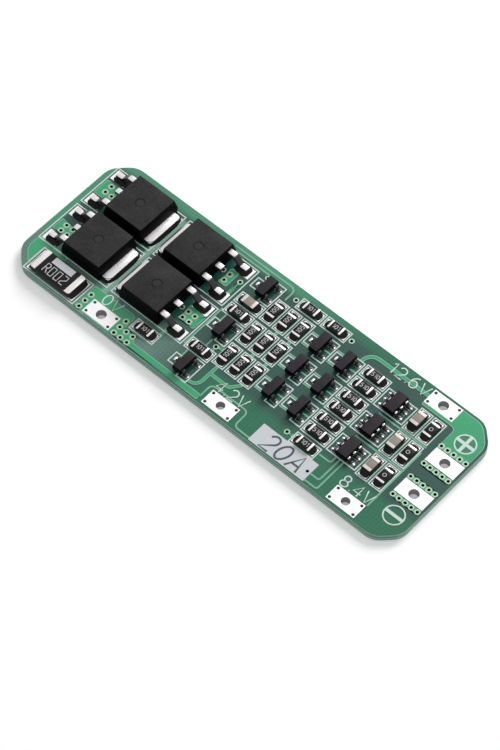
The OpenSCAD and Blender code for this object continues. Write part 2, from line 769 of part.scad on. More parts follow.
module power_metal() {
    face = power_body_length / 2;
    lead_z = part_base + 1.3;
    foot_z = part_base + power_lead_thickness / 2;
    path = [[power_pocket - face, lead_z], [-face - power_shoulder, lead_z],
        [-face - power_drop, foot_z], [-face - power_lead_reach, foot_z]];
    for (side = [-1, 1]) translate([0, side * power_lead_spacing / 2, 0])
        bent_lead(path, 0.4, power_lead_thickness, power_lead_width);
    translate([-face - power_stub_reach, -power_lead_width / 2, lead_z - power_lead_thickness / 2])
        cube([power_stub_reach + power_pocket, power_lead_width, power_lead_thickness]);
    tab_inner = face - power_body_length * 0.85;
    tab_outer = face + tab_reach;
    translate([0, 0, part_base]) linear_extrude(power_lead_thickness) polygon(rounded([
        [tab_inner, tab_width / 2], [tab_outer, tab_width / 2],
        [tab_outer, -tab_width / 2], [tab_inner, -tab_width / 2]
    ], tab_corner, 5));
}

module power_spot(i) {
    place(power_transistors[i]) translate([power_body_shift, 0, 0]) children();
}

module power_leads(i) {
    color("#c9c8cc") power_spot(i) power_metal();
}

module power_body(i) {
    color("#3a393c") power_spot(i) difference() {
        moulded_body([power_body_length, power_body_width], power_slopes, power_levels);
        power_metal();
        translate([0, 0, power_levels[2] - 0.05]) cylinder(d = 1.2, h = 1);
    }
}

// ---- Small transistors and cell monitors ----

small_levels = [part_base + 0.07, part_base + small_body_height * 0.55, part_base + small_body_height];
small_slope = 0.14;
small_pocket = 0.2; // depth of a lead's end inside the body

module small_metal(leads, half) {
    lead_z = small_levels[1];
    foot_z = part_base + small_lead_thickness / 2;
    path = [[half - small_pocket, lead_z], [half + 0.14, lead_z],
        [half + 0.26, foot_z], [half + small_lead_reach, foot_z]];
    for (lead = leads) translate([0, lead[1], 0]) rotate(lead[0] > 0 ? 0 : 180)
        bent_lead(path, 0.1, small_lead_thickness, small_lead_width);
}

module small_body(leads, width) {
    difference() {
        moulded_body([width, small_body_length], [small_slope, small_slope], small_levels);
        small_metal(leads, width / 2);
    }
}

module transistor_spot(i) {
    place(transistors[i]) translate([transistor_shift, 0, 0]) children();
}

module transistor_body(i) {
    color("#48434a") transistor_spot(i) small_body(transistor_leads, transistor_body_width);
}

module transistor_metal(i) {
    color("#c9c8cc") transistor_spot(i) small_metal(transistor_leads, transistor_body_width / 2);
}

module monitor_body(i) {
    color("#48434a") place(monitors[i]) difference() {
        small_body(monitor_leads, monitor_body_width);
        translate([-0.4, -1.05, small_levels[2] - 0.04]) cylinder(d = 0.3, h = 1);
    }
}

module monitor_metal(i) {
    color("#c9c8cc") place(monitors[i]) small_metal(monitor_leads, monitor_body_width / 2);
}

// ---- Chips and the shunt ----

module chip_core(size, plate) {
    box([size[0] - 2 * plate, size[1], size[2] - 2 * plate], part_base + plate);
}

// A chip resistor: a ceramic slab with a dark coat between its wrapped ends
module chip_resistor(size, end, plate) {
    chip_core(size, plate);
    box([size[0] - 2 * end, size[1], 1.5 * plate], part_base + size[2] - plate);
}

module chip_ends(size, end, plate, inset) {
    for (side = [-1, 1]) difference() {
        translate([side * (size[0] - end) / 2, 0, 0]) box([end, size[1], size[2]], part_base);
        chip_core([size[0], size[1] - inset, size[2]], plate);
    }
}

resistor_size = [chip_length, chip_width, resistor_height];
capacitor_size = [chip_length, chip_width, capacitor_height];
shunt_size = [shunt_length, shunt_width, shunt_height];
shunt_plate = 0.08;

module resistor_bodies(places) {
    color("#3b3a3e") for (c = places) place(c) chip_resistor(resistor_size, chip_end, end_plate);
}

module resistor_ends(places) {
    color("#d8d6d9") for (c = places) place(c) chip_ends(resistor_size, chip_end, end_plate, -1);
}

module capacitor_bodies() {
    color("#a09485") for (c = capacitors) place(c)
        chip_core([chip_length, chip_width - 2 * end_plate, capacitor_height], end_plate);
}

module capacitor_ends() {
    color("#d8d6d9") for (c = capacitors) place(c)
        chip_ends(capacitor_size, chip_end, end_plate, 2 * end_plate);
}

module shunt_body() {
    color("#333236") translate([shunt_x, shunt_y, 0]) chip_resistor(shunt_size, shunt_end, shunt_plate);
}

module shunt_ends() {
    color("#d8d6d9") translate([shunt_x, shunt_y, 0]) chip_ends(shunt_size, shunt_end, shunt_plate, -1);
}

module lead_solder(leads, half) {
    for (lead = leads) translate([0, lead[1], 0])
        solder_fillet(lead[0] * half, small_toe - 0.03, small_lead_thickness, small_lead_width);
}

solder_climb = 0.6; // solder climbs a tall end no further than this
module end_solder(size, toe) {
    height = min(size[2] * 0.8, solder_climb);
    for (side = [-1, 1]) solder_fillet(side * size[0] / 2, toe - 0.05, height, size[1] - 0.1);
}

module solder_joints() {
    color("#bdbcc2") {
        for (c = all_resistors) place(c) end_solder(resistor_size, land_toe);
        for (c = capacitors) place(c) end_solder(capacitor_size, land_toe);
        for (t = transistors) place(t) translate([transistor_shift, 0, 0])
            lead_solder(transistor_leads, transistor_lead_span / 2);
        for (m = monitors) place(m) lead_solder(monitor_leads, monitor_lead_span / 2);
        for (i = [0:3], side = [-1, 1]) power_spot(i) translate([0, side * power_lead_spacing / 2, 0])
            solder_fillet(-power_body_length / 2 - power_lead_reach, power_toe - 0.1, power_lead_thickness,
                power_lead_width);
        translate([shunt_x, shunt_y, 0]) end_solder(shunt_size, shunt_toe);
    }
}

// ---- Nodes ----

terminal_names = [for (t = terminals) t[0]];
power_count = len(power_transistors);
NODES = concat(
    ["printed_board", "via_barrels", "copper_tracks", "printed_outlines", "rating_patch"],
    ["solder_lands", "solder_joints"],
    terminal_names,
    [for (i = [1:power_count], kind = ["body", "leads"]) str("power_transistor_", i, "_", kind)],
    ["shunt_body", "shunt_ends"],
    [for (cell = cells, kind = ["body", "leads"]) str("cell_", cell, "_monitor_", kind)],
    [for (i = [1:len(transistors)], kind = ["body", "leads"]) str("small_transistor_", i, "_", kind)],
    ["single_resistor_bodies", "single_resistor_ends"],
    [for (cell = cells, kind = ["bodies", "ends"]) str("cell_", cell, "_resistor_", kind)],
    ["capacitor_bodies", "capacitor_ends"]
);
node = "all";

function shown(name) = node == "all" || node == name;

if (shown("printed_board")) printed_board();
if (shown("via_barrels")) via_barrels();
if (shown("copper_tracks")) copper_tracks();
if (shown("printed_outlines")) printed_outlines();
if (shown("rating_patch")) rating_patch();
if (shown("solder_lands")) solder_lands();
if (shown("solder_joints")) solder_joints();
for (i = [0:len(terminals) - 1]) if (shown(terminals[i][0])) terminal(terminals[i], i < stitched);
for (i = [0:power_count - 1]) {
    if (shown(str("power_transistor_", i + 1, "_body"))) power_body(i);
    if (shown(str("power_transistor_", i + 1, "_leads"))) power_leads(i);
}
if (shown("shunt_body")) shunt_body();
if (shown("shunt_ends")) shunt_ends();
for (cell = cells) {
    if (shown(str("cell_", cell, "_monitor_body"))) monitor_body(cell - 1);
    if (shown(str("cell_", cell, "_monitor_leads"))) monitor_metal(cell - 1);
    if (shown(str("cell_", cell, "_resistor_bodies"))) resistor_bodies(cell_resistors(cell));
    if (shown(str("cell_", cell, "_resistor_ends"))) resistor_ends(cell_resistors(cell));
}
for (i = [0:len(transistors) - 1]) {
    if (shown(str("small_transistor_", i + 1, "_body"))) transistor_body(i);
    if (shown(str("small_transistor_", i + 1, "_leads"))) transistor_metal(i);
}
if (shown("single_resistor_bodies")) resistor_bodies(single_resistors);
if (shown("single_resistor_ends")) resistor_ends(single_resistors);
if (shown("capacitor_bodies")) capacitor_bodies();
if (shown("capacitor_ends")) capacitor_ends();
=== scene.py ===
import math

import bmesh
import bpy
from bpy.props import FloatProperty, FloatVectorProperty, PointerProperty
from mathutils import Matrix, Vector


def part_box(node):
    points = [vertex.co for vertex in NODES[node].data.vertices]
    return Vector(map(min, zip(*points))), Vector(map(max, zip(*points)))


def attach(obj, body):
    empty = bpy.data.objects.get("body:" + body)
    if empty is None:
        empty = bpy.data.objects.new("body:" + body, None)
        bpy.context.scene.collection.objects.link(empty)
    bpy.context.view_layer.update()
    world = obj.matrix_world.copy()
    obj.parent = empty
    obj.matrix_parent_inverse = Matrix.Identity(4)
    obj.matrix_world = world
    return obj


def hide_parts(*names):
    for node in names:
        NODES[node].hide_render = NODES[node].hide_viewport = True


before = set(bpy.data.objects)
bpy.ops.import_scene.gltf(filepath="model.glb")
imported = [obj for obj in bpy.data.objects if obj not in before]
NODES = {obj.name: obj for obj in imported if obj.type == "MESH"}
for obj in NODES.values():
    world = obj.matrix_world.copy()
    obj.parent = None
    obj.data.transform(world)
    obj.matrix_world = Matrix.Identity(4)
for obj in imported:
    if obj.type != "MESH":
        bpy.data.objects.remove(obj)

bl_info = {
    "name": "Battery management board",
    "version": (1, 0, 0),
    "blender": (4, 5, 0),
    "location": "3D Viewport > Sidebar > Board",
    "description": "Finishes, solder, mouldings and printing of a battery management board",
    "category": "Object",
}

MM = 0.001
BOARD_LOW, BOARD_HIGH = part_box("printed_board")
BOARD_TOP = BOARD_HIGH.z
PAD_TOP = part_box("output_positive_terminal")[1].z
TERMINALS = [name for name in NODES if name.endswith("_terminal")]
CELLS = (1, 2, 3)


# ---- Reading places from the frame ----

def middle(node):
    low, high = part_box(node)
    return (low + high) / 2


def form_of(node):
    bm = bmesh.new()
    bm.from_mesh(NODES[node].data)
    bmesh.ops.remove_doubles(bm, verts=bm.verts, dist=1e-7)
    return bm


def corners(node):
    """The corners of each separate solid in a node, in order of the solids' places."""
    bm = form_of(node)
    left = set(bm.verts)
    found = []
    while left:
        stack = [left.pop()]
        found.append([])
        while stack:
            vert = stack.pop()
            found[-1].append(vert.co.copy())
            near = {edge.other_vert(vert) for edge in vert.link_edges} & left
            left -= near
            stack += near
    bm.free()
    return sorted(found, key=lambda points: [round(axis, 5) for axis in box_of(points)[0][:2]])


def box_of(points):
    """The lowest and the highest corner round some points."""
    return tuple(Vector([pick(point[i] for point in points) for i in range(3)]) for pick in (min, max))


def solids(node):
    """The box of each separate solid in a node, as (lowest corner, highest corner)."""
    return [box_of(points) for points in corners(node)]


def upright(low, high):
    """True where a chip's ends point along Y and not along X."""
    return high.y - low.y > high.x - low.x


def shift(x, y, z=0):
    return Matrix.Translation((x, y, z))


def turned_by(angle):
    return Matrix.Rotation(angle, 4, "Z")


# ---- Making pieces ----

def add_object(name, data):
    made = bpy.data.objects.new(name, data)
    bpy.context.scene.collection.objects.link(made)
    return made


def mesh_of(name, bm):
    mesh = bpy.data.meshes.new(name)
    bm.to_mesh(mesh)
    bm.free()
    return mesh


def make_piece(name, bm, finishes, replaced=(), sharp=35, merge=True):
    if merge:
        bmesh.ops.remove_doubles(bm, verts=bm.verts, dist=1e-8)
    mesh = mesh_of(name, bm)
    for face in mesh.polygons:
        face.use_smooth = True
    mesh.set_sharp_from_angle(angle=math.radians(sharp))
    for finish_name in finishes:
        mesh.materials.append(FINISHES[finish_name])
    piece = add_object(name, mesh)
    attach(piece, "root")
    if replaced:
        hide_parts(*replaced)
    return piece


def join(bm, part, matrix=None, material=0):
    """Adds one finished form to a piece, in its place and with its own material."""
    if matrix is not None:
        bmesh.ops.transform(part, matrix=matrix, verts=part.verts)
        if matrix.determinant() < 0:
            bmesh.ops.reverse_faces(part, faces=part.faces)
    for face in part.faces:
        face.material_index = material
    mesh = mesh_of("part", part)
    bm.from_mesh(mesh)
    bpy.data.meshes.remove(mesh)


def face_outwards(bm):
    bmesh.ops.recalc_face_normals(bm, faces=bm.faces)


def bevel(bm, edges, offset, segments):
    bmesh.ops.bevel(bm, geom=edges, offset=offset, segments=segments, affect="EDGES", profile=0.5,
                    material=-1)


def block(low, high, round_by=0.0):
    """A rectangular form with its edges rounded."""
    low, high = Vector(low), Vector(high)
    bm = bmesh.new()
    bmesh.ops.create_cube(bm, size=1)
    bmesh.ops.scale(bm, vec=high - low, verts=bm.verts)
    bmesh.ops.translate(bm, vec=(low + high) / 2, verts=bm.verts)
    if round_by:
        bevel(bm, bm.edges[:], round_by, 2)
    return bm


def grid(x_segments, y_segments, size=1):
    bm = bmesh.new()
    bmesh.ops.create_grid(bm, x_segments=x_segments, y_segments=y_segments, size=size)
    return bm


def sharp_edges(bm, angle):
    return [e for e in bm.edges if len(e.link_faces) == 2 and e.calc_face_angle(0) > math.radians(angle)]


def moulding(low, high, parting, insets, round_by, angle=30):
    """A moulded package: drafted both ways from its parting line, with rounded edges.
    The insets, along X and Y, are those of its lowest and of its highest outline."""
    bm = block(low, high)
    bmesh.ops.bisect_plane(bm, geom=bm.verts[:] + bm.edges[:] + bm.faces[:], dist=1e-9,
                           plane_co=(0, 0, parting), plane_no=(0, 0, 1))
    centre = (low + high) / 2
    for level, inset in zip((low.z, high.z), insets):
        ring = [v for v in bm.verts if abs(v.co.z - level) < 1e-9]
        factor = [1 - 2 * inset[i] / (high - low)[i] for i in (0, 1)] + [1]
        bmesh.ops.scale(bm, vec=factor, verts=ring, space=Matrix.Translation(-centre))
    bevel(bm, sharp_edges(bm, angle), round_by, 3)
    return bm


def bent_path(points, radius, steps=4):
    """The points of a path, with each corner rounded."""
    path = [points[0]]
    for before, corner, after in zip(points, points[1:], points[2:]):
        u = (before - corner).normalized()
        v = (after - corner).normalized()
        half = u.angle(v) / 2
        reach = radius / math.tan(half)
        hub = corner + (u + v).normalized() * radius / math.sin(half)
        first = (corner + u * reach - hub).normalized()
        last = (corner + v * reach - hub).normalized()
        path += [hub + first.slerp(last, i / steps) * radius for i in range(steps + 1)]
    return path + [points[-1]]


def bent_strip(points, radius, width, thickness, round_by):
    """A flat lead whose underside follows points in the XZ plane, its width along Y."""
    path = bent_path([Vector(p) for p in points], radius)
    bm = grid(1, len(path) - 1)
    rows = {}
    for vert in bm.verts:
        rows.setdefault(round(vert.co.y, 4), []).append(vert)
    for i, key in enumerate(sorted(rows)):
        for vert in rows[key]:
            side = 1 if vert.co.x > 0 else -1
            vert.co = path[i] + Vector((0, side * width / 2, 0))
    face_outwards(bm)
    bmesh.ops.solidify(bm, geom=bm.faces[:], thickness=thickness)
    face_outwards(bm)
    bevel(bm, sharp_edges(bm, 50), round_by, 2)
    return bm


SUNK = 0.005 * MM  # how far solder reaches into what it stands on


def hollow(way):
    """The share of its height that solder keeps at a share of its way out."""
    return (1 - way) * (1 - 0.45 * way)


def meniscus(reach, height, width, steps=6):
    """Solder drawn up the face at X = 0 and thinning out to a rounded toe on its land."""
    bm = grid(steps, steps)
    for vert in bm.verts:
        along = (vert.co.x + 1) / 2
        across = vert.co.y
        shoulder = 1 - 0.3 * abs(across) ** 3
        vert.co = Vector((along * reach * shoulder, across * width / 2,
                          PAD_TOP + height * hollow(along) * shoulder))
    stand_on_land(bm)
    return bm


def collar(half, spread, height, segments=40, steps=4):
    """Solder all round a foot: a hollow slope from its sides out to a rounded edge.
    The spreads are those towards +X, towards -X and to either side."""
    bm = bmesh.new()
    made = bmesh.ops.create_circle(bm, cap_ends=True, segments=segments, radius=1)
    ring = made["verts"]
    angles = {vert: math.atan2(vert.co.y, vert.co.x) for vert in ring}
    for step in range(steps + 1):
        if step:
            angles = {vert: min(angles.items(), key=lambda known: (known[0].co - vert.co).length)[1]
                      for vert in grown_rim(bm)}
        t = step / steps
        square = 0.25 + 0.25 * t
        for vert, angle in angles.items():
            c, d = math.cos(angle), math.sin(angle)
            reach = half[0] + t * (spread[0] if c > 0 else spread[1])
            wide = half[1] + t * spread[2]
            vert.co = Vector((math.copysign(abs(c) ** square, c) * reach,
                              math.copysign(abs(d) ** square, d) * wide,
                              PAD_TOP + height * hollow(t)))
    stand_on_land(bm)
    return bm


def dab(reach, width, height, base):
    """A low drop of solder that narrows towards -X."""
    bm = bmesh.new()
    bmesh.ops.create_uvsphere(bm, u_segments=14, v_segments=8, radius=1)
    for vert in bm.verts:
        narrowing = 0.62 + 0.38 * vert.co.x
        vert.co = Vector((vert.co.x * reach, vert.co.y * width * narrowing,
                          base + max(vert.co.z * height, -SUNK)))
    return bm


def grown_rim(bm):
    """Extrudes an open form's rim in its place, and gives the new corners."""
    grown = bmesh.ops.extrude_edge_only(bm, edges=[e for e in bm.edges if e.is_boundary])["geom"]
    return [g for g in grown if isinstance(g, bmesh.types.BMVert)]


def stand_on_land(bm):
    """Closes an open form with a skirt down into the land."""
    for vert in grown_rim(bm):
        vert.co.z = PAD_TOP - SUNK
    bmesh.ops.holes_fill(bm, edges=[e for e in bm.edges if e.is_boundary], sides=0)
    face_outwards(bm)


# ---- Finishes ----

def put(tree, socket, value):
    """Links a socket, or sets it to a number or a colour."""
    if isinstance(value, bpy.types.NodeSocket):
        tree.links.new(value, socket)
    else:
        socket.default_value = value if isinstance(value, (int, float)) else (*value, 1)


def node(tree, kind, **settings):
    """A new node, with its named inputs and its own settings."""
    made = tree.nodes.new(kind)
    for name, value in settings.items():
        if name in made.inputs:
            put(tree, made.inputs[name], value)
        else:
            setattr(made, name, value)
    return made


def maths(tree, operation, *values):
    made = node(tree, "ShaderNodeMath", operation=operation)
    for socket, value in zip(made.inputs, values):
        put(tree, socket, value)
    return made.outputs[0]


def mixed(tree, factor, first, second, blend_type="MIX"):
    """One colour turned into another, or multiplied by it, by a factor."""
    made = node(tree, "ShaderNodeMix", data_type="RGBA", blend_type=blend_type, Factor=factor)
    put(tree, made.inputs[6], first)
    put(tree, made.inputs[7], second)
    return made.outputs[2]


def ramp(tree, source, start, end, first=0.0, last=1.0, kind="SMOOTHSTEP"):
    """Goes from the first value to the last while the source goes from start to end."""
    made = node(tree, "ShaderNodeMapRange", interpolation_type=kind, Value=source)
    for name, value in (("From Min", start), ("From Max", end), ("To Min", first), ("To Max", last)):
        put(tree, made.inputs[name], value)
    return made.outputs["Result"]


def split_axes(tree, vector):
    axes = tree.nodes.new("ShaderNodeSeparateXYZ")
    tree.links.new(vector, axes.inputs[0])
    return axes.outputs


def new_group(name, inputs, outputs):
    """An empty shader group whose sockets are all numbers."""
    group = bpy.data.node_groups.new(name, "ShaderNodeTree")
    for in_out, sockets in (("INPUT", inputs), ("OUTPUT", outputs)):
        for socket in sockets:
            group.interface.new_socket(name=socket, in_out=in_out, socket_type="NodeSocketFloat")
    return group, group.nodes.new("NodeGroupInput").outputs, group.nodes.new("NodeGroupOutput").inputs


def surface_grain():
    """Fine grain of a moulded or printed surface: a tone that varies, and a height."""
    group, given, out = new_group("surface_grain", ("Fine", "Broad", "Contrast"), ("Tone", "Height"))
    place = group.nodes.new("ShaderNodeTexCoord").outputs["Object"]
    fine, broad = [node(group, "ShaderNodeTexNoise", Vector=place, Scale=given[socket], Detail=detail,
                        Roughness=roughness).outputs["Fac"]
                   for socket, detail, roughness in (("Fine", 3, 0.6), ("Broad", 2, 0.5))]
    centred = maths(group, "SUBTRACT", maths(group, "ADD", fine, broad), 1.0)
    put(group, out["Tone"], maths(group, "MULTIPLY_ADD", centred, given["Contrast"], 1.0))
    put(group, out["Height"], fine)
    return group


def upright_mask():
    """1 on faces that stand upright and 0 on level ones, with a soft change between. The finishes use it to
    paint shade on upright faces.
    """
    group, given, out = new_group("upright_mask", ("Upright", "Level"), ("Mask",))
    normal = group.nodes.new("ShaderNodeTexCoord").outputs["Normal"]
    steep = maths(group, "ABSOLUTE", split_axes(group, normal)["Z"])
    put(group, out["Mask"], ramp(group, steep, given["Upright"], given["Level"], 1, 0))
    return group


def toned(material, group, colour, contrast, fine, broad, strength, distance):
    """Feeds a material's colour and normal from the grain group."""
    tree = material.node_tree
    shader = tree.nodes["Principled BSDF"]
    grain = node(tree, "ShaderNodeGroup", node_tree=group, Fine=fine, Broad=broad, Contrast=contrast)
    put(tree, shader.inputs["Base Color"], mixed(tree, 1.0, colour, grain.outputs["Tone"], "MULTIPLY"))
    bump = node(tree, "ShaderNodeBump", Strength=strength, Distance=distance, Height=grain.outputs["Height"])
    put(tree, shader.inputs["Normal"], bump.outputs["Normal"])


def finish(name, roughness, metallic=0.0, specular=0.5):
    material = bpy.data.materials.new(name)
    material.use_nodes = True
    shader = material.node_tree.nodes["Principled BSDF"]
    for socket, value in (("Roughness", roughness), ("Metallic", metallic),
                          ("Specular IOR Level", specular)):
        shader.inputs[socket].default_value = value
    return material


FINISHES = {}


def make_finishes(look):
    grain = surface_grain()
    mask = upright_mask()

    def add(name, colour, contrast, fine, broad, strength, distance, roughness, side=None,
            limits=(0.5, 0.9), **shader):
        """A grained finish. Its upright faces get painted shade: the side share of its colour, and no metal.
        """
        material = finish(name, roughness, **shader)
        colour = tuple(colour)
        if side is not None:
            tree = material.node_tree
            steep = node(tree, "ShaderNodeGroup", node_tree=mask, Upright=limits[0], Level=limits[1])
            steep = steep.outputs["Mask"]
            colour = mixed(tree, steep, colour, [c * side for c in colour])
            metal = shader.get("metallic")
            if metal:
                bare = maths(tree, "MULTIPLY_ADD", steep, -metal, metal)
                put(tree, tree.nodes["Principled BSDF"].inputs["Metallic"], bare)
        toned(material, grain, colour, contrast, fine, broad, strength, distance * MM)
        FINISHES[name] = material

    # A side share paints shade: upright faces, slopes and hole walls are coloured darker than level ones
    add("masked_copper", look.copper_green, 0.25, 2500, 260, 0.25, 0.01, 0.22)
    add("bare_mask", look.bare_mask, 0.25, 2500, 260, 0.25, 0.01, 0.25)
    add("copper_rim", look.copper_rim, 0.2, 2500, 260, 0.25, 0.01, 0.25)
    add("tinned_copper", look.tin, 0.1, 3500, 500, 0.3, 0.02, 0.45, side=0.4, metallic=0.3)
    add("land_tin", look.tin, 0.12, 5000, 900, 0.35, 0.02, 0.35, side=0.1, metallic=0.5)
    # Painted shade: solder is bright only where it lies level, and its slopes are coloured near black
    add("solder", look.solder, 0.3, 5000, 900, 0.5, 0.02, 0.25, side=0.02, limits=(0.93, 0.995),
        metallic=0.9, specular=0.05)
    add("bright_solder", look.solder, 0.2, 5000, 900, 0.5, 0.02, 0.3, side=0.5, metallic=0.6)
    # Painted shade: dark solder and leads stand for the shade round the small packages
    add("shaded_solder", look.shaded, 0.5, 6000, 900, 0.5, 0.02, 0.3, metallic=0.5)
    add("shaded_lead", look.shaded, 0.5, 6000, 900, 0.4, 0.01, 0.35, side=0.3, metallic=0.5)
    add("lead_metal", look.lead, 0.2, 6000, 700, 0.3, 0.01, 0.35, side=0.05, limits=(0.84, 0.985),
        metallic=0.6, specular=0.2)
    add("chip_metal", look.end_tin, 0.3, 7000, 1500, 0.5, 0.02, 0.35, side=0.03, limits=(0.75, 0.97),
        metallic=0.5, specular=0.1)
    add("ceramic_end", look.end_plate, 0.3, 6000, 1500, 0.5, 0.02, 0.45, side=0.02, limits=(0.75, 0.97),
        metallic=0.3, specular=0.1)
    add("via_ring", look.via, 0.15, 6000, 900, 0.3, 0.01, 0.45, side=0.01, metallic=0.2)
    add("legend_ink", look.ink, 0.12, 12000, 1500, 0.4, 0.01, 0.6)
    add("patch_ink", look.patch, 0.08, 9000, 700, 0.35, 0.01, 0.5)
    add("rating_ink", look.rating, 0.1, 9000, 700, 0.3, 0.01, 0.5)
    add("code_ink", look.code, 0.15, 9000, 700, 0.3, 0.01, 0.55)
    add("power_moulding", look.power, 1.1, 4200, 420, 0.6, 0.03, 0.5, side=0.03, specular=0.05)
    add("ejector_mark", look.power, 0.3, 12000, 500, 0.2, 0.01, 0.42, side=0.3, specular=0.08)
    add("small_moulding", look.small, 0.6, 6500, 900, 0.5, 0.02, 0.45, side=0.05, specular=0.05)
    add("resistor_coat", look.coat, 0.4, 12000, 1200, 0.4, 0.01, 0.4, side=0.2, specular=0.1)
    add("shunt_coat", look.coat, 0.45, 12000, 700, 0.45, 0.015, 0.45, side=0.2, specular=0.1)
    add("resistor_slab", look.slab, 0.15, 9000, 900, 0.4, 0.01, 0.5, specular=0.2)
    add("capacitor_ceramic", look.capacitor, 0.2, 9000, 900, 0.4, 0.01, 0.42, side=0.1, specular=0.3)
    FINISHES["solder_mask"] = board_finish(look, grain)


def board_finish(look, grain):
    """Green mask over glass cloth on both faces, and the cut edge of the sheet between them."""
    material = finish("solder_mask", roughness=0.22)
    tree = material.node_tree
    place = node(tree, "ShaderNodeTexCoord").outputs["Object"]
    x, y = split_axes(tree, place)[:2]
    low, high = BOARD_LOW / MM, BOARD_HIGH / MM

    def zone(source, start, end):
        return ramp(tree, source, start * MM, end * MM)

    def both(a, b):
        return maths(tree, "MULTIPLY", a, b)

    def either(a, b):
        return maths(tree, "MAXIMUM", a, b)

    # Copper on the hidden face shows through as a greener tone, and the mask is paler where it is thin
    near = both(zone(y, low.y + 5.2, low.y + 3.8), zone(x, -3, 1))
    corner = both(zone(x, high.x - 6, high.x - 3), zone(y, low.y + 4.5, low.y + 1.5))
    far = zone(y, high.y - 1.9, high.y - 0.6)
    left = zone(x, low.x + 1.2, low.x + 0.7)
    # Painted light: a paler strip between the power transistors' columns lifts their shadow
    columns = both(both(zone(x, -18.2, -17.8), zone(x, -17.0, -17.4)), zone(y, 8.4, 7.6))
    pale = either(left, both(far, zone(x, 12, -6)))
    # Painted sheen: a greyer patch towards the near left stands for a broad reflection
    painted_sheen = both(zone(x, -2, -9), zone(y, -2, -6))
    face = mixed(tree, either(either(near, corner), far), look.mask, look.backed_mask)
    face = mixed(tree, pale, face, look.thin_mask)
    face = mixed(tree, painted_sheen, face, look.painted_sheen_mask)
    face = mixed(tree, columns, face, look.strip_mask)

    # Glass cloth shows through the mask as a fine weave
    weave = maths(tree, "ADD", *[
        node(tree, "ShaderNodeTexWave", bands_direction=direction, Scale=700, Distortion=0.6,
             Vector=place).outputs["Fac"] for direction in "XY"])
    face = mixed(tree, 1, face, ramp(tree, weave, 0, 2, 0.88, 1.12, "LINEAR"), "MULTIPLY")

    # The cut edge is bare glass and resin, laid in layers
    normal = node(tree, "ShaderNodeNewGeometry").outputs["Normal"]
    side = maths(tree, "LESS_THAN", maths(tree, "ABSOLUTE", split_axes(tree, normal)["Z"]), 0.5)
    layers = node(tree, "ShaderNodeTexWave", bands_direction="Z", Scale=480, Distortion=1.5, Detail=2,
                  Vector=place)
    layers.inputs["Detail Scale"].default_value = 3
    edge = mixed(tree, layers.outputs["Fac"], look.edge_dark, look.edge_light)
    toned(material, grain, mixed(tree, side, face, edge), 0.22, 2600, 300, 0.2, 0.01 * MM)
    return material


# ---- Lettering ----

def arc(cx, cy, rx, ry, start, end, steps=8):
    """Points round part of an ellipse, from one angle to another in degrees."""
    angles = [math.radians(start + (end - start) * i / steps) for i in range(steps + 1)]
    return [(cx + rx * math.cos(a), cy + ry * math.sin(a)) for a in angles]


# Each sign is a list of pen strokes in a cell of height 1
STROKES = {
    "0": [arc(0.3, 0.5, 0.3, 0.5, 90, 450, 16)],
    "1": [[(0.1, 0.8), (0.32, 1), (0.32, 0)]],
    "2": [arc(0.3, 0.7, 0.28, 0.3, 160, -35, 9) + [(0.02, 0), (0.6, 0)]],
    "4": [[(0.45, 0), (0.45, 1), (0, 0.3), (0.62, 0.3)]],
    "5": [[(0.55, 1), (0.1, 1), (0.05, 0.55)] + arc(0.28, 0.32, 0.3, 0.32, 110, -150, 9)],
    "6": [arc(0.5, 0.45, 0.48, 0.55, 95, 180, 6) + arc(0.3, 0.32, 0.28, 0.32, 180, 540, 14)],
    "8": [arc(0.3, 0.75, 0.24, 0.25, 270, 630, 12), arc(0.3, 0.26, 0.3, 0.26, 90, 450, 14)],
    "V": [[(0, 1), (0.34, 0), (0.68, 1)]],
    "A": [[(0, 0), (0.34, 1), (0.68, 0)], [(0.12, 0.35), (0.56, 0.35)]],
    "R": [[(0.05, 0), (0.05, 1), (0.3, 1)] + arc(0.3, 0.75, 0.25, 0.25, 90, -90, 6) + [(0.05, 0.5)],
          [(0.3, 0.5), (0.6, 0)]],
    ".": [[(0.06, 0.06), (0.12, 0.06)]],
    "o": [[(0, 0), (0, 1), (0.5, 1), (0.5, 0), (0, 0)]],
    "z": [[(0, 1), (0.5, 1), (0.5, 0.6), (0, 0.25), (0, 0), (0.52, 0)]],
}
ADVANCE = {"1": 0.62, ".": 0.3, "V": 0.9, "A": 0.9}
PLAIN_ADVANCE = 0.84
INK = 0.02 * MM  # how thick the ink lies


def pen(strokes, line, height, closed=False):
    """Draws strokes as thin raised lines of ink."""
    curve = bpy.data.curves.new("pen", "CURVE")
    curve.dimensions = "3D"
    curve.bevel_depth = line / 2
    curve.bevel_resolution = 1
    curve.use_fill_caps = True
    for stroke in strokes:
        spline = curve.splines.new("POLY")
        spline.points.add(len(stroke) - 1)
        for point, (x, y) in zip(spline.points, stroke):
            point.co = (x, y, 0, 1)
        spline.use_cyclic_u = closed
    drawn = add_object("pen", curve)
    bpy.context.view_layer.update()
    mesh = bpy.data.meshes.new_from_object(drawn.evaluated_get(bpy.context.evaluated_depsgraph_get()))
    part = bmesh.new()
    part.from_mesh(mesh)
    bmesh.ops.scale(part, vec=(1, 1, height / line), verts=part.verts)
    bpy.data.objects.remove(drawn)
    bpy.data.curves.remove(curve)
    bpy.data.meshes.remove(mesh)
    return part


def lettering(bm, words, low, height, line, level, turn=0, slant=0.0, stretch=1.0):
    """Writes words from their lower left corner, lying on a level surface."""
    strokes = []
    x = 0
    for sign in words:
        strokes += [[((px + x) * stretch * height + slant * py * height, py * height)
                     for px, py in stroke] for stroke in STROKES[sign]]
        x += ADVANCE.get(sign, PLAIN_ADVANCE)
    place = shift(low[0], low[1], level + INK / 3) @ turned_by(turn)
    join(bm, pen(strokes, line, INK), place)


def written_width(words, height, stretch=1.0):
    return (sum(ADVANCE.get(sign, PLAIN_ADVANCE) for sign in words) - 0.24) * height * stretch


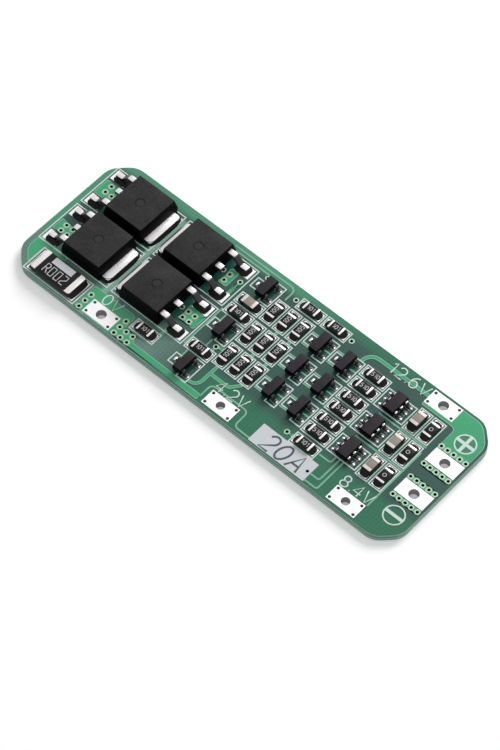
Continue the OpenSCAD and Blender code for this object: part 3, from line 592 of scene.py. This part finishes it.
# ---- Sizes and colours that a user would change ----

def colour(name, description, value):
    return FloatVectorProperty(name=name, description=description, subtype="COLOR", size=3,
                               min=0, max=1, default=value)


def length(name, description, millimetres):
    return FloatProperty(name=name, description=description, unit="LENGTH", default=millimetres * MM, min=0)


class BoardLook(bpy.types.PropertyGroup):
    mask: colour("Solder mask", "Over bare laminate", (0.014, 0.072, 0.056))
    backed_mask: colour("Mask over hidden copper", "Where the far face has copper", (0.012, 0.135, 0.07))
    thin_mask: colour("Thin mask", "Paler green by the edges", (0.06, 0.25, 0.15))
    # Painted sheen: a greyer green that stands for a broad reflection over the mask
    painted_sheen_mask: colour("Mask with painted sheen", "Greyer under a painted sheen", (0.1, 0.2, 0.16))
    # Painted light: paler than the mask, lifting the shadow between the transistors
    strip_mask: colour("Mask between transistors", "Between the columns", (0.2, 0.36, 0.28))
    bare_mask: colour("Mask inside the sign", "Where the pour is left out", (0.03, 0.2, 0.105))
    copper_green: colour("Mask over copper", "Over the pours", (0.036, 0.33, 0.15))
    copper_rim: colour("Copper edges", "Paler green along the copper's edges", (0.24, 0.48, 0.35))
    edge_dark: colour("Edge, dark layers", "Resin in the cut edge", (0.066, 0.165, 0.122))
    edge_light: colour("Edge, light layers", "Glass cloth in the cut edge", (0.215, 0.4, 0.325))
    tin: colour("Tin", "Tinned pads and lands", (0.87, 0.855, 0.88))
    solder: colour("Solder", "Its level parts", (0.85, 0.85, 0.86))
    # Painted shade: the dark colour of solder and leads in the shade of the small packages
    shaded: colour("Solder in painted shade", "Dark solder and leads of small packages", (0.025, 0.027, 0.028))
    lead: colour("Leads", "Tinned leads and tabs", (0.72, 0.7, 0.71))
    via: colour("Vias", "Rings round the plated holes", (0.4, 0.59, 0.41))
    end_tin: colour("Chip ends", "Ends of the resistors and the shunt", (0.76, 0.735, 0.715))
    end_plate: colour("Capacitor ends", "Ends of the chip capacitors", (0.64, 0.6, 0.54))
    ink: colour("Legend", "Printed outlines, signs and numbers", (0.56, 0.7, 0.64))
    patch: colour("Rating patch", "Ink of the plain field", (0.56, 0.585, 0.62))
    rating: colour("Rating figures", "Mask showing through the field", (0.03, 0.065, 0.06))
    code: colour("Chip codes", "Figures on chips and shunt", (0.5, 0.5, 0.51))
    power: colour("Power mouldings", "Epoxy of the power transistors", (0.033, 0.033, 0.034))
    small: colour("Small mouldings", "Epoxy of the small packages", (0.034, 0.031, 0.035))
    coat: colour("Resistor coat", "Dark glaze on the resistors", (0.012, 0.012, 0.013))
    slab: colour("Resistor slab", "Sides of a resistor's slab", (0.02, 0.02, 0.02))
    capacitor: colour("Capacitor ceramic", "Body of the chip capacitors", (0.275, 0.243, 0.21))


class BoardSizes(bpy.types.PropertyGroup):
    power_round: length("Power moulding edge", "Rounding of the power transistors", 0.1)
    small_round: length("Small moulding edge", "Rounding of the small packages", 0.045)
    lead_round: length("Lead edge", "Rounding of the power leads", 0.085)
    capacitor_height: length("Capacitor height", "Height of the cells' chip capacitors", 0.85)
    chip_round: length("Chip end edge", "Rounding of the chips' metal ends", 0.09)
    copper_rim: length("Copper rim", "Width of the copper's paler edge", 0.08)
    label_height: length("Label height", "Height of the voltage figures", 1.55)
    label_line: length("Label line", "Pen width of the voltage figures", 0.18)
    rating_height: length("Rating height", "Height of the rating figures", 2.3)
    sign_radius: length("Sign radius", "Outer radius of the ringed signs", 1.35)
    camera_distance: length("Camera distance", "From the lens to the board", 336.13)


# ---- Operators ----

DRIVERS_END = middle("cell_1_tap_terminal").x  # left of it are the power transistors' drivers
POWER_PITCH = 4.57 * MM
POWER_LEAD_WIDTH = 0.78 * MM
POWER_LEAD_THICKNESS = 0.5 * MM
POWER_LEAD_ROWS = (-POWER_PITCH / 2, POWER_PITCH / 2)
POWER_JOINT_HEIGHTS = (0.45 * MM, 0.55 * MM)


class Piecework:
    bl_options = {"REGISTER", "UNDO"}


class BOARD_OT_finishes(Piecework, bpy.types.Operator):
    """Make every finish and give the frame's own nodes theirs"""
    bl_idname = "board.finishes"
    bl_label = "Finishes"

    def execute(self, context):
        make_finishes(context.scene.board_look)
        for cad, name in (("printed_board", "solder_mask"), ("printed_outlines", "legend_ink"),
                          ("rating_patch", "patch_ink"), ("via_barrels", "via_ring"),
                          ("solder_lands", "land_tin"), *((pad, "tinned_copper") for pad in TERMINALS)):
            materials = NODES[cad].data.materials
            materials.clear()
            materials.append(FINISHES[name])
        rimmed_copper(context.scene.board_sizes.copper_rim)
        return {"FINISHED"}


def rimmed_copper(width):
    """The masked copper, with a paler rim where the mask thins at its edges."""
    bm = form_of("copper_tracks")
    bm.normal_update()
    top = [face for face in bm.faces if face.normal.z > 0.9]
    for face in bm.faces:
        face.material_index = 1
    bmesh.ops.inset_region(bm, faces=top, thickness=width, use_boundary=True, use_even_offset=True)
    for face in top:
        face.material_index = 0
    make_piece("rimmed_tracks", bm, ["masked_copper", "copper_rim"], ["copper_tracks"],
               merge=False)


class PowerPlace:
    """A power transistor's sizes, and the matrix that takes leads along +X to their place."""

    def __init__(self, name):
        self.low, self.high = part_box(name + "_body")
        self.lead_low, self.lead_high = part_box(name + "_leads")
        left, right = self.low.x - self.lead_low.x, self.lead_high.x - self.high.x
        self.reach, self.tab_reach = max(left, right), min(left, right)
        self.face = (self.high.x - self.low.x) / 2
        self.half_tab = (self.lead_high.y - self.lead_low.y) / 2
        centre = (self.low + self.high) / 2
        self.centred = shift(centre.x, centre.y)
        self.matrix = self.centred @ turned_by(math.pi) if left > right else self.centred


class BOARD_OT_power_transistors(Piecework, bpy.types.Operator):
    """Mould the four power transistors and bend their leads"""
    bl_idname = "board.power_transistors"
    bl_label = "Power transistors"

    def execute(self, context):
        sizes = context.scene.board_sizes
        for i in range(1, 5):
            name = f"power_transistor_{i}"
            at = PowerPlace(name)
            bm = power_moulding(at.high - at.low, at.low.z, sizes.power_round)
            bmesh.ops.transform(bm, matrix=at.centred, verts=bm.verts)
            make_piece(name + "_moulding", bm, ["power_moulding", "ejector_mark"], [name + "_body"])
            make_piece(name + "_metal", power_metal(at, sizes.lead_round), ["lead_metal"],
                       [name + "_leads"])
        return {"FINISHED"}


def power_moulding(size, base, round_by):
    """A drafted block whose top has a shallow round dish, left by the ejector."""
    half = size / 2
    draft = Vector((0.24, 0.31)) * MM
    mark_radius = 0.64 * MM
    bm = moulding(Vector((-half.x, -half.y, base)), Vector((half.x, half.y, base + size.z)),
                  base + 0.9 * MM, (draft * 0.1, draft), round_by, angle=20)
    top = max(bm.faces, key=lambda f: (round(f.calc_center_median().z, 6), f.calc_area()))
    bmesh.ops.inset_individual(bm, faces=[top], thickness=half.x * 0.62)
    bmesh.ops.subdivide_edges(bm, edges=top.edges[:], cuts=7)
    face = max(bm.faces, key=lambda f: len(f.verts))
    for vert in face.verts:
        around = math.atan2(vert.co.y, vert.co.x)
        vert.co.x, vert.co.y = mark_radius * math.cos(around), mark_radius * math.sin(around)
    # A groove round the mark, then its flat middle
    for depth in (-0.06, 0.0, 0.035):
        bmesh.ops.inset_individual(bm, faces=[face], thickness=0.05 * MM, depth=depth * MM)
    face.material_index = 1
    return bm


def power_metal(at, round_by):
    """Two bent leads, the stub of the middle one, and the tab."""
    bm = bmesh.new()
    base = at.lead_low.z
    half_lead = POWER_LEAD_THICKNESS / 2
    shoulder, foot = at.lead_high.z - half_lead, base + half_lead
    points = [(at.face - 0.5 * MM, 0, shoulder), (at.face + 0.68 * MM, 0, shoulder),
              (at.face + 1.57 * MM, 0, foot), (at.face + at.reach, 0, foot)]
    for across in POWER_LEAD_ROWS:
        lead = bent_strip(points, 0.4 * MM, POWER_LEAD_WIDTH, POWER_LEAD_THICKNESS, round_by)
        join(bm, lead, at.matrix @ shift(0, across))
    stub = block((at.face - 0.5 * MM, -POWER_LEAD_WIDTH / 2, shoulder - half_lead),
                 (at.face + 0.8 * MM, POWER_LEAD_WIDTH / 2, shoulder + half_lead), round_by)
    join(bm, stub, at.matrix)
    tab = block((-at.face - at.tab_reach, -at.half_tab, base),
                (at.face * 0.7, at.half_tab, base + POWER_LEAD_THICKNESS))
    standing = [e for e in tab.edges if abs(e.verts[0].co.z - e.verts[1].co.z) > half_lead
                and e.verts[0].co.x < 0]
    bevel(tab, standing, 0.75 * MM, 5)
    bevel(tab, sharp_edges(tab, 50), round_by, 2)
    join(bm, tab, at.matrix)
    return bm


class BOARD_OT_small_packages(Piecework, bpy.types.Operator):
    """Mould the small transistors and the cell monitors, and bend their leads"""
    bl_idname = "board.small_packages"
    bl_label = "Small packages"

    def execute(self, context):
        sizes = context.scene.board_sizes
        for i in range(1, 10):
            # Painted shade: the small transistors' leads take the dark lead finish all over
            self.package(f"small_transistor_{i}", sizes, [(-1, 0), (1, -1), (1, 1)], "shaded_lead")
        for cell in CELLS:
            rows = [(side, row) for side in (-1, 1) for row in (-1, 0, 1)]
            self.package(f"cell_{cell}_monitor", sizes, rows, "lead_metal")
        return {"FINISHED"}

    def package(self, name, sizes, leads, metal):
        low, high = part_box(name + "_body")
        lead_low, lead_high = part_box(name + "_leads")
        parting = low.z + 0.52 * (high.z - low.z)
        insets = [(0.16 * abs(level - parting),) * 2 for level in (low.z, high.z)]
        bm = moulding(low, high, parting, insets, sizes.small_round)
        make_piece(name + "_moulding", bm, ["small_moulding"], [name + "_body"])
        bm = bmesh.new()
        centre = (low + high) / 2
        half = (high.x - low.x) / 2
        thickness = 0.13 * MM
        width = 0.4 * MM
        pitch = (lead_high.y - lead_low.y - width) / 2
        top = lead_high.z - thickness / 2
        foot = lead_low.z + thickness / 2
        reach = lead_high.x - high.x
        points = [(half - 0.2 * MM, 0, top), (half + 0.14 * MM, 0, top),
                  (half + 0.26 * MM, 0, foot), (half + reach, 0, foot)]
        for side, row in leads:
            lead = bent_strip(points, 0.1 * MM, width, thickness, 0.02 * MM)
            place = shift(centre.x, centre.y + row * pitch)
            if side < 0:
                place = place @ turned_by(math.pi)
            join(bm, lead, place)
        finishes = [metal]
        # Painted shade: the monitors' leads are coloured dark below their shoulders
        if metal != "shaded_lead":
            finishes.append("shaded_lead")
            for face in bm.faces:
                if face.calc_center_median().z < top - thickness:
                    face.material_index = 1
        make_piece(name + "_metal", bm, finishes, [name + "_leads"])


class BOARD_OT_chips(Piecework, bpy.types.Operator):
    """Make the chip resistors, the chip capacitors and the current shunt"""
    bl_idname = "board.chips"
    bl_label = "Chips and shunt"

    def execute(self, context):
        sizes = context.scene.board_sizes
        for group in ("single", "cell_1", "cell_2", "cell_3"):
            name = group + "_resistor"
            self.chips(name + "_bodies", name + "_ends", sizes, 0.34 * MM, "resistor_coat")
        self.chips("capacitor_bodies", "capacitor_ends", sizes, 0.45 * MM, "capacitor_ceramic")
        self.chips("shunt_body", "shunt_ends", sizes, 0.95 * MM, "shunt_coat")
        return {"FINISHED"}

    def chips(self, bodies, ends, sizes, end, coat):
        ceramic = coat == "capacitor_ceramic"
        plate = (0.08 if coat == "shunt_coat" else 0.04) * MM
        wrap = plate if ceramic else 0.01 * MM
        core = bmesh.new()
        caps = bmesh.new()
        end_base, end_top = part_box(ends)[0].z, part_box(ends)[1].z
        for low, high in solids(bodies):
            turned = upright(low, high)
            centre = (low + high) / 2
            place = shift(centre.x, centre.y) @ turned_by(math.pi / 2 if turned else 0)
            span, across = (high.y - low.y, high.x - low.x) if turned else (high.x - low.x, high.y - low.y)
            half, across = span / 2 + plate, across / 2
            top = end_top
            if ceramic:
                top = end_base + sizes.capacitor_height * (0.75 if low.x < DRIVERS_END else 1)
            slab = block((-span / 2, -across, low.z), (span / 2, across, top - plate), 0.1 * MM)
            join(core, slab, place, 0 if ceramic else 1)
            if not ceramic:
                glaze = block((-half + end * 0.85, -across * 0.97, top - 2 * plate),
                              (half - end * 0.85, across * 0.97, top + 0.1 * plate), 0.03 * MM)
                join(core, glaze, place, 0)
            for side in (0, math.pi):
                cap = block((half - end, -across - wrap, end_base), (half, across + wrap, top))
                if coat == "shunt_coat":
                    standing = [e for e in cap.edges if min(v.co.x for v in e.verts) > half - plate
                                and abs(e.verts[0].co.z - e.verts[1].co.z) > plate]
                    bevel(cap, standing, 0.32 * MM, 3)
                rims = [e for e in cap.edges if min(v.co.z for v in e.verts) > top - 1e-6
                        and max(v.co.x for v in e.verts) > half - end / 2]
                bevel(cap, rims, sizes.chip_round, 3)
                join(caps, cap, place @ turned_by(side))
        make_piece(bodies + "_glazed", core, [coat, "resistor_slab"], [bodies])
        tin = "ceramic_end" if ceramic else "chip_metal"
        make_piece(ends + "_tinned", caps, [tin], [ends])


class BOARD_OT_solder(Piecework, bpy.types.Operator):
    """Draw the solder up every lead and chip end"""
    bl_idname = "board.solder"
    bl_label = "Solder"

    def execute(self, context):
        bm = bmesh.new()
        lands = solids("solder_lands")
        for low, high, way in joints():
            centre = (low + high) / 2
            height = high.z - PAD_TOP
            if POWER_JOINT_HEIGHTS[0] < height < POWER_JOINT_HEIGHTS[1] and way.y == 0:
                continue  # a power lead's, made below
            size = high - low
            reach, width = (size.x, size.y) if way.x else (size.y, size.x)
            toe = centre + way * reach / 2
            turn = turned_by(math.atan2(way.y, way.x))
            if height > 0.2 * MM:
                start = toe - way * reach
                part = meniscus(reach, height, width * 0.96)
                join(bm, part, shift(start.x, start.y) @ turn)
            else:
                self.small_joint(bm, centre, toe, way, turn, lands)
        for i in range(1, 5):
            self.power_joints(bm, PowerPlace(f"power_transistor_{i}"))
        make_piece("solder_fillets", bm, ["solder", "bright_solder", "shaded_solder"], ["solder_joints"],
                   sharp=60)
        return {"FINISHED"}

    def small_joint(self, bm, spot, toe, way, turn, lands):
        """Painted shade: solder over a small lead's land is coloured dark, with one bright drop."""
        for low, high in lands:
            if low.x < spot.x < high.x and low.y < spot.y < high.y:
                margin = Vector((0.03, 0.03, 0)) * MM
                cover = block(low + margin, high - margin + Vector((0, 0, 0.04 * MM)), 0.03 * MM)
                join(bm, cover, None, 2)
        # The drop's reach, width and height, and its way back from the toe
        if abs(spot.x - middle("cell_1_monitor_body").x) < 3 * MM:
            size, back = (0.24, 0.2, 0.12), 0.04
        elif way.x < 0:
            size, back = (0.26, 0.48, 0.16), 0.1
        # On the small transistors' right feet the drop is a painted glint on the dark solder
        else:
            size, back = (0.16, 0.2, 0.06), 0.05
        drop = dab(*[side * MM for side in size], PAD_TOP + 0.03 * MM)
        spot = toe - way * (back * MM)
        join(bm, drop, shift(spot.x, spot.y) @ turn, 1)

    def power_joints(self, bm, at):
        heel, tip = at.face + 1.55 * MM, at.face + at.reach
        for across in POWER_LEAD_ROWS:
            part = collar(((tip - heel) / 2, 0.39 * MM), (0.28 * MM, 0.6 * MM, 0.42 * MM), 0.42 * MM)
            join(bm, part, at.matrix @ shift((heel + tip) / 2, across))
        part = collar((at.tab_reach, at.half_tab), (0, 0.34 * MM, 0.3 * MM), 0.4 * MM)
        join(bm, part, at.matrix @ shift(-at.face, 0))


def joints():
    """Each solder joint's box, and the way that it runs out from its metal."""
    for points in corners("solder_joints"):
        low, high = box_of(points)
        tall = [co for co in points if co.z > high.z - 1e-6]
        way = (low + high) / 2 - sum(tall, Vector()) / len(tall)
        along = 0 if abs(way.x) > abs(way.y) else 1
        yield low, high, Vector([math.copysign(1, way[i]) if i == along else 0 for i in range(3)])


class BOARD_OT_lettering(Piecework, bpy.types.Operator):
    """Print the voltages, the signs, the rating and the chips' plain codes"""
    bl_idname = "board.lettering"
    bl_label = "Lettering"

    def execute(self, context):
        sizes = context.scene.board_sizes
        self.voltages(sizes)
        self.signs(sizes)
        self.rating(sizes)
        self.codes()
        return {"FINISHED"}

    def voltages(self, sizes):
        bm = bmesh.new()
        height, line = sizes.label_height, sizes.label_line
        level = BOARD_TOP + 0.055 * MM
        for terminal, words, inset, gap in (("cell_2_tap", "8.4V", -0.08, 0.14),
                                            ("cell_1_tap", "4.2V", -0.1, 0.15),
                                            ("battery_negative", "0V", 0.75, 0.14)):
            low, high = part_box(terminal + "_terminal")
            lettering(bm, words, (low.x + inset * MM, high.y + gap * MM), height, line, level, stretch=1.05)
        low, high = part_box("battery_positive_terminal")
        width = written_width("12.6V", height, 1.1)
        lettering(bm, "12.6V", (low.x - width - 0.34 * MM, high.y - height - 0.15 * MM), height, line, level,
                  stretch=1.1)
        make_piece("voltage_labels", bm, ["legend_ink"])

    def signs(self, sizes):
        bm = bmesh.new()
        ring = 0.18 * MM
        radius = sizes.sign_radius - ring / 2
        bar = 0.42 * MM
        level = BOARD_TOP + 0.045 * MM
        for terminal, side in (("output_positive_terminal", 1), ("output_negative_terminal", -1)):
            low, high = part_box(terminal)
            middle_y = high.y + 2.47 * MM if side > 0 else low.y - 2.52 * MM
            spot = Vector(((low.x + high.x) / 2 + 0.1 * MM, middle_y, level))
            part = pen([arc(0, 0, radius, radius, 0, 348.75, 31)], ring, INK, closed=True)
            join(bm, part, Matrix.Translation(spot))
            half = radius - 0.02 * MM
            strokes = [((-half, -bar / 2), (half, bar / 2))]
            if side > 0:
                strokes += [((-bar / 2, bar / 2), (bar / 2, half)), ((-bar / 2, -half), (bar / 2, -bar / 2))]
            for a, b in strokes:
                join(bm, block((*a, -INK / 2), (*b, INK / 2)), Matrix.Translation(spot))
            if side > 0:
                field = bmesh.new()
                bmesh.ops.create_cone(field, cap_ends=True, segments=48, radius1=radius, radius2=radius,
                                      depth=INK / 2)
                join(bm, field, Matrix.Translation(spot - Vector((0, 0, INK / 4))), 1)
        make_piece("output_signs", bm, ["legend_ink", "bare_mask"])

    def rating(self, sizes):
        bm = bmesh.new()
        low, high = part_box("rating_patch")
        height = sizes.rating_height
        start = (low.x + 1.3 * MM, low.y + 0.2 * MM)
        lettering(bm, "20A", start, height, 0.27 * MM, high.z, slant=0.24, stretch=1.02)
        make_piece("rating_figures", bm, ["rating_ink"])
        bm = bmesh.new()
        for ring_low, ring_high in solids("via_barrels"):
            spot = (ring_low + ring_high) / 2
            if low.x < spot.x < high.x and low.y < spot.y < high.y:
                ring = self.inked_ring((ring_high.x - ring_low.x) / 2 + 0.03 * MM)
                join(bm, ring, shift(spot.x, spot.y, ring_high.z))
        make_piece("inked_ring", bm, ["patch_ink"])

    def inked_ring(self, radius):
        """Ink that lies over a via's ring and leaves its hole open."""
        bm = grid(1, 1)
        section = bm.verts[:]
        for vert in section:
            vert.co = Vector((0.2 * MM if vert.co.x < 0 else radius, 0, vert.co.y * 0.01 * MM))
        edges = bm.edges[:]
        bmesh.ops.delete(bm, geom=bm.faces[:], context="FACES_ONLY")
        bmesh.ops.spin(bm, geom=section + edges, axis=(0, 0, 1), cent=(0, 0, 0), angle=2 * math.pi,
                       steps=28, use_merge=True)
        face_outwards(bm)
        return bm

    def codes(self):
        bm = bmesh.new()
        groups = [("single_resistor_bodies", "101")] + [(f"cell_{c}_resistor_bodies", None) for c in CELLS]
        monitors_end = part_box("cell_1_monitor_body")[1].x
        for group, fixed in groups:
            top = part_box(group)[1].z
            for low, high in solids(group):
                turned = upright(low, high)
                if low.x > monitors_end:
                    self.code(bm, "0", (low + high) / 2, top, False, 0.46 * MM, 0.08 * MM, 1.5)
                else:
                    words = fixed or ("105" if turned else "510")
                    self.code(bm, words, (low + high) / 2, top, turned, 0.55 * MM, 0.085 * MM, 0.95)
        low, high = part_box("shunt_body")
        centre = (low + high) / 2
        self.code(bm, "Rooz", centre + Vector((0.06, -0.52, 0)) * MM, high.z, False, 1.28 * MM, 0.12 * MM,
                  0.86)
        bar = block((centre.x - 1.47 * MM, centre.y + 0.42 * MM, high.z - 0.01 * MM),
                    (centre.x + 1.67 * MM, centre.y + 1.36 * MM, high.z + 0.015 * MM))
        join(bm, bar, None, 1)
        make_piece("chip_codes", bm, ["code_ink", "patch_ink"])

    def code(self, bm, words, centre, top, turned, height, line, stretch):
        width = written_width(words, height, stretch)
        turn = math.pi / 2 if turned else 0
        start = turned_by(turn) @ Vector((-width / 2, -height / 2, 0))
        lettering(bm, words, (centre.x + start.x, centre.y + start.y), height, line, top, turn, 0, stretch)


class BOARD_OT_stage(Piecework, bpy.types.Operator):
    """Set the pale floor, the soft lamps and the camera"""
    bl_idname = "board.stage"
    bl_label = "Stage"

    def execute(self, context):
        mesh = mesh_of("floor", grid(1, 1, 3))
        mesh.materials.append(self.floor_finish())
        made = add_object("floor", mesh)
        made.location.z = -0.02 * MM
        self.lamps()
        self.camera(context.scene.board_sizes)
        context.scene.view_settings.view_transform = "Standard"
        return {"FINISHED"}

    def floor_finish(self):
        """A pale floor, a little brighter to the camera than to the part."""
        material = finish("pale_floor", roughness=0.9, specular=0.0)
        tree = material.node_tree
        shader = tree.nodes["Principled BSDF"]
        shader.inputs["Base Color"].default_value = (0.92, 0.92, 0.92, 1)
        shader.inputs["Emission Color"].default_value = (1, 1, 1, 1)
        seen = node(tree, "ShaderNodeLightPath").outputs["Is Camera Ray"]
        put(tree, shader.inputs["Emission Strength"], maths(tree, "MULTIPLY", seen, 0.16))
        return material

    def lamps(self):
        world = bpy.data.worlds.new("studio")
        world.use_nodes = True
        bpy.context.scene.world = world
        tree = world.node_tree
        tree.nodes.clear()
        rays = node(tree, "ShaderNodeLightPath").outputs
        seen = maths(tree, "MAXIMUM", rays["Is Camera Ray"], rays["Is Glossy Ray"])
        seen = maths(tree, "MAXIMUM", seen, rays["Is Transmission Ray"])
        pick = node(tree, "ShaderNodeMixShader", Fac=seen)
        for socket, grey in ((pick.inputs[1], 0.47), (pick.inputs[2], 1)):
            put(tree, socket, node(tree, "ShaderNodeBackground", Color=(grey,) * 3).outputs[0])
        node(tree, "ShaderNodeOutputWorld", Surface=pick.outputs[0])
        for name, at, size, power in (("key", (-0.02, 0.36, 0.26), 0.24, 1.55),
                                      ("fill", (0.18, -0.20, 0.34), 0.35, 0.29)):
            lamp = bpy.data.lights.new(name, "AREA")
            lamp.size = size
            lamp.energy = power
            placed = add_object(name, lamp)
            placed.location = at
            placed.rotation_euler = (-Vector(at)).to_track_quat("-Z", "Y").to_euler()

    def camera(self, sizes):
        azimuth, elevation, roll = (math.radians(a) for a in (-49.586, 56.752, 1.631))
        aim = Vector((2.8435, -3.1743, 1.05)) * MM
        away = Vector((math.cos(elevation) * math.cos(azimuth), math.cos(elevation) * math.sin(azimuth),
                       math.sin(elevation)))
        turn = away.to_track_quat("Z", "Y").to_matrix() @ Matrix.Rotation(roll, 3, "Z")
        lens = bpy.data.cameras.new("camera")
        lens.lens = 140.2
        lens.clip_start = 0.01
        made = add_object("camera", lens)
        made.location = aim + away * sizes.camera_distance
        made.rotation_euler = turn.to_euler()
        bpy.context.scene.camera = made


OPERATORS = (
    BOARD_OT_stage,
    BOARD_OT_finishes,
    BOARD_OT_power_transistors,
    BOARD_OT_small_packages,
    BOARD_OT_chips,
    BOARD_OT_solder,
    BOARD_OT_lettering,
)


class BOARD_PT_panel(bpy.types.Panel):
    """The board's pieces, colours and sizes"""
    bl_idname = "BOARD_PT_panel"
    bl_label = "Management board"
    bl_space_type = "VIEW_3D"
    bl_region_type = "UI"
    bl_category = "Board"

    def draw(self, context):
        for made in OPERATORS:
            self.layout.operator(made.bl_idname)
        for group in (context.scene.board_look, context.scene.board_sizes):
            column = self.layout.column()
            for name in group.__annotations__:
                column.prop(group, name)


CLASSES = (BoardLook, BoardSizes, *OPERATORS, BOARD_PT_panel)


def register():
    for made in CLASSES:
        bpy.utils.register_class(made)
    bpy.types.Scene.board_look = PointerProperty(type=BoardLook)
    bpy.types.Scene.board_sizes = PointerProperty(type=BoardSizes)


def unregister():
    del bpy.types.Scene.board_sizes
    del bpy.types.Scene.board_look
    for made in reversed(CLASSES):
        bpy.utils.unregister_class(made)


def main():
    register()
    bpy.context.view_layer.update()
    for made in OPERATORS:
        getattr(bpy.ops.board, made.bl_idname.removeprefix("board."))()


if __name__ == "__main__":
    main()
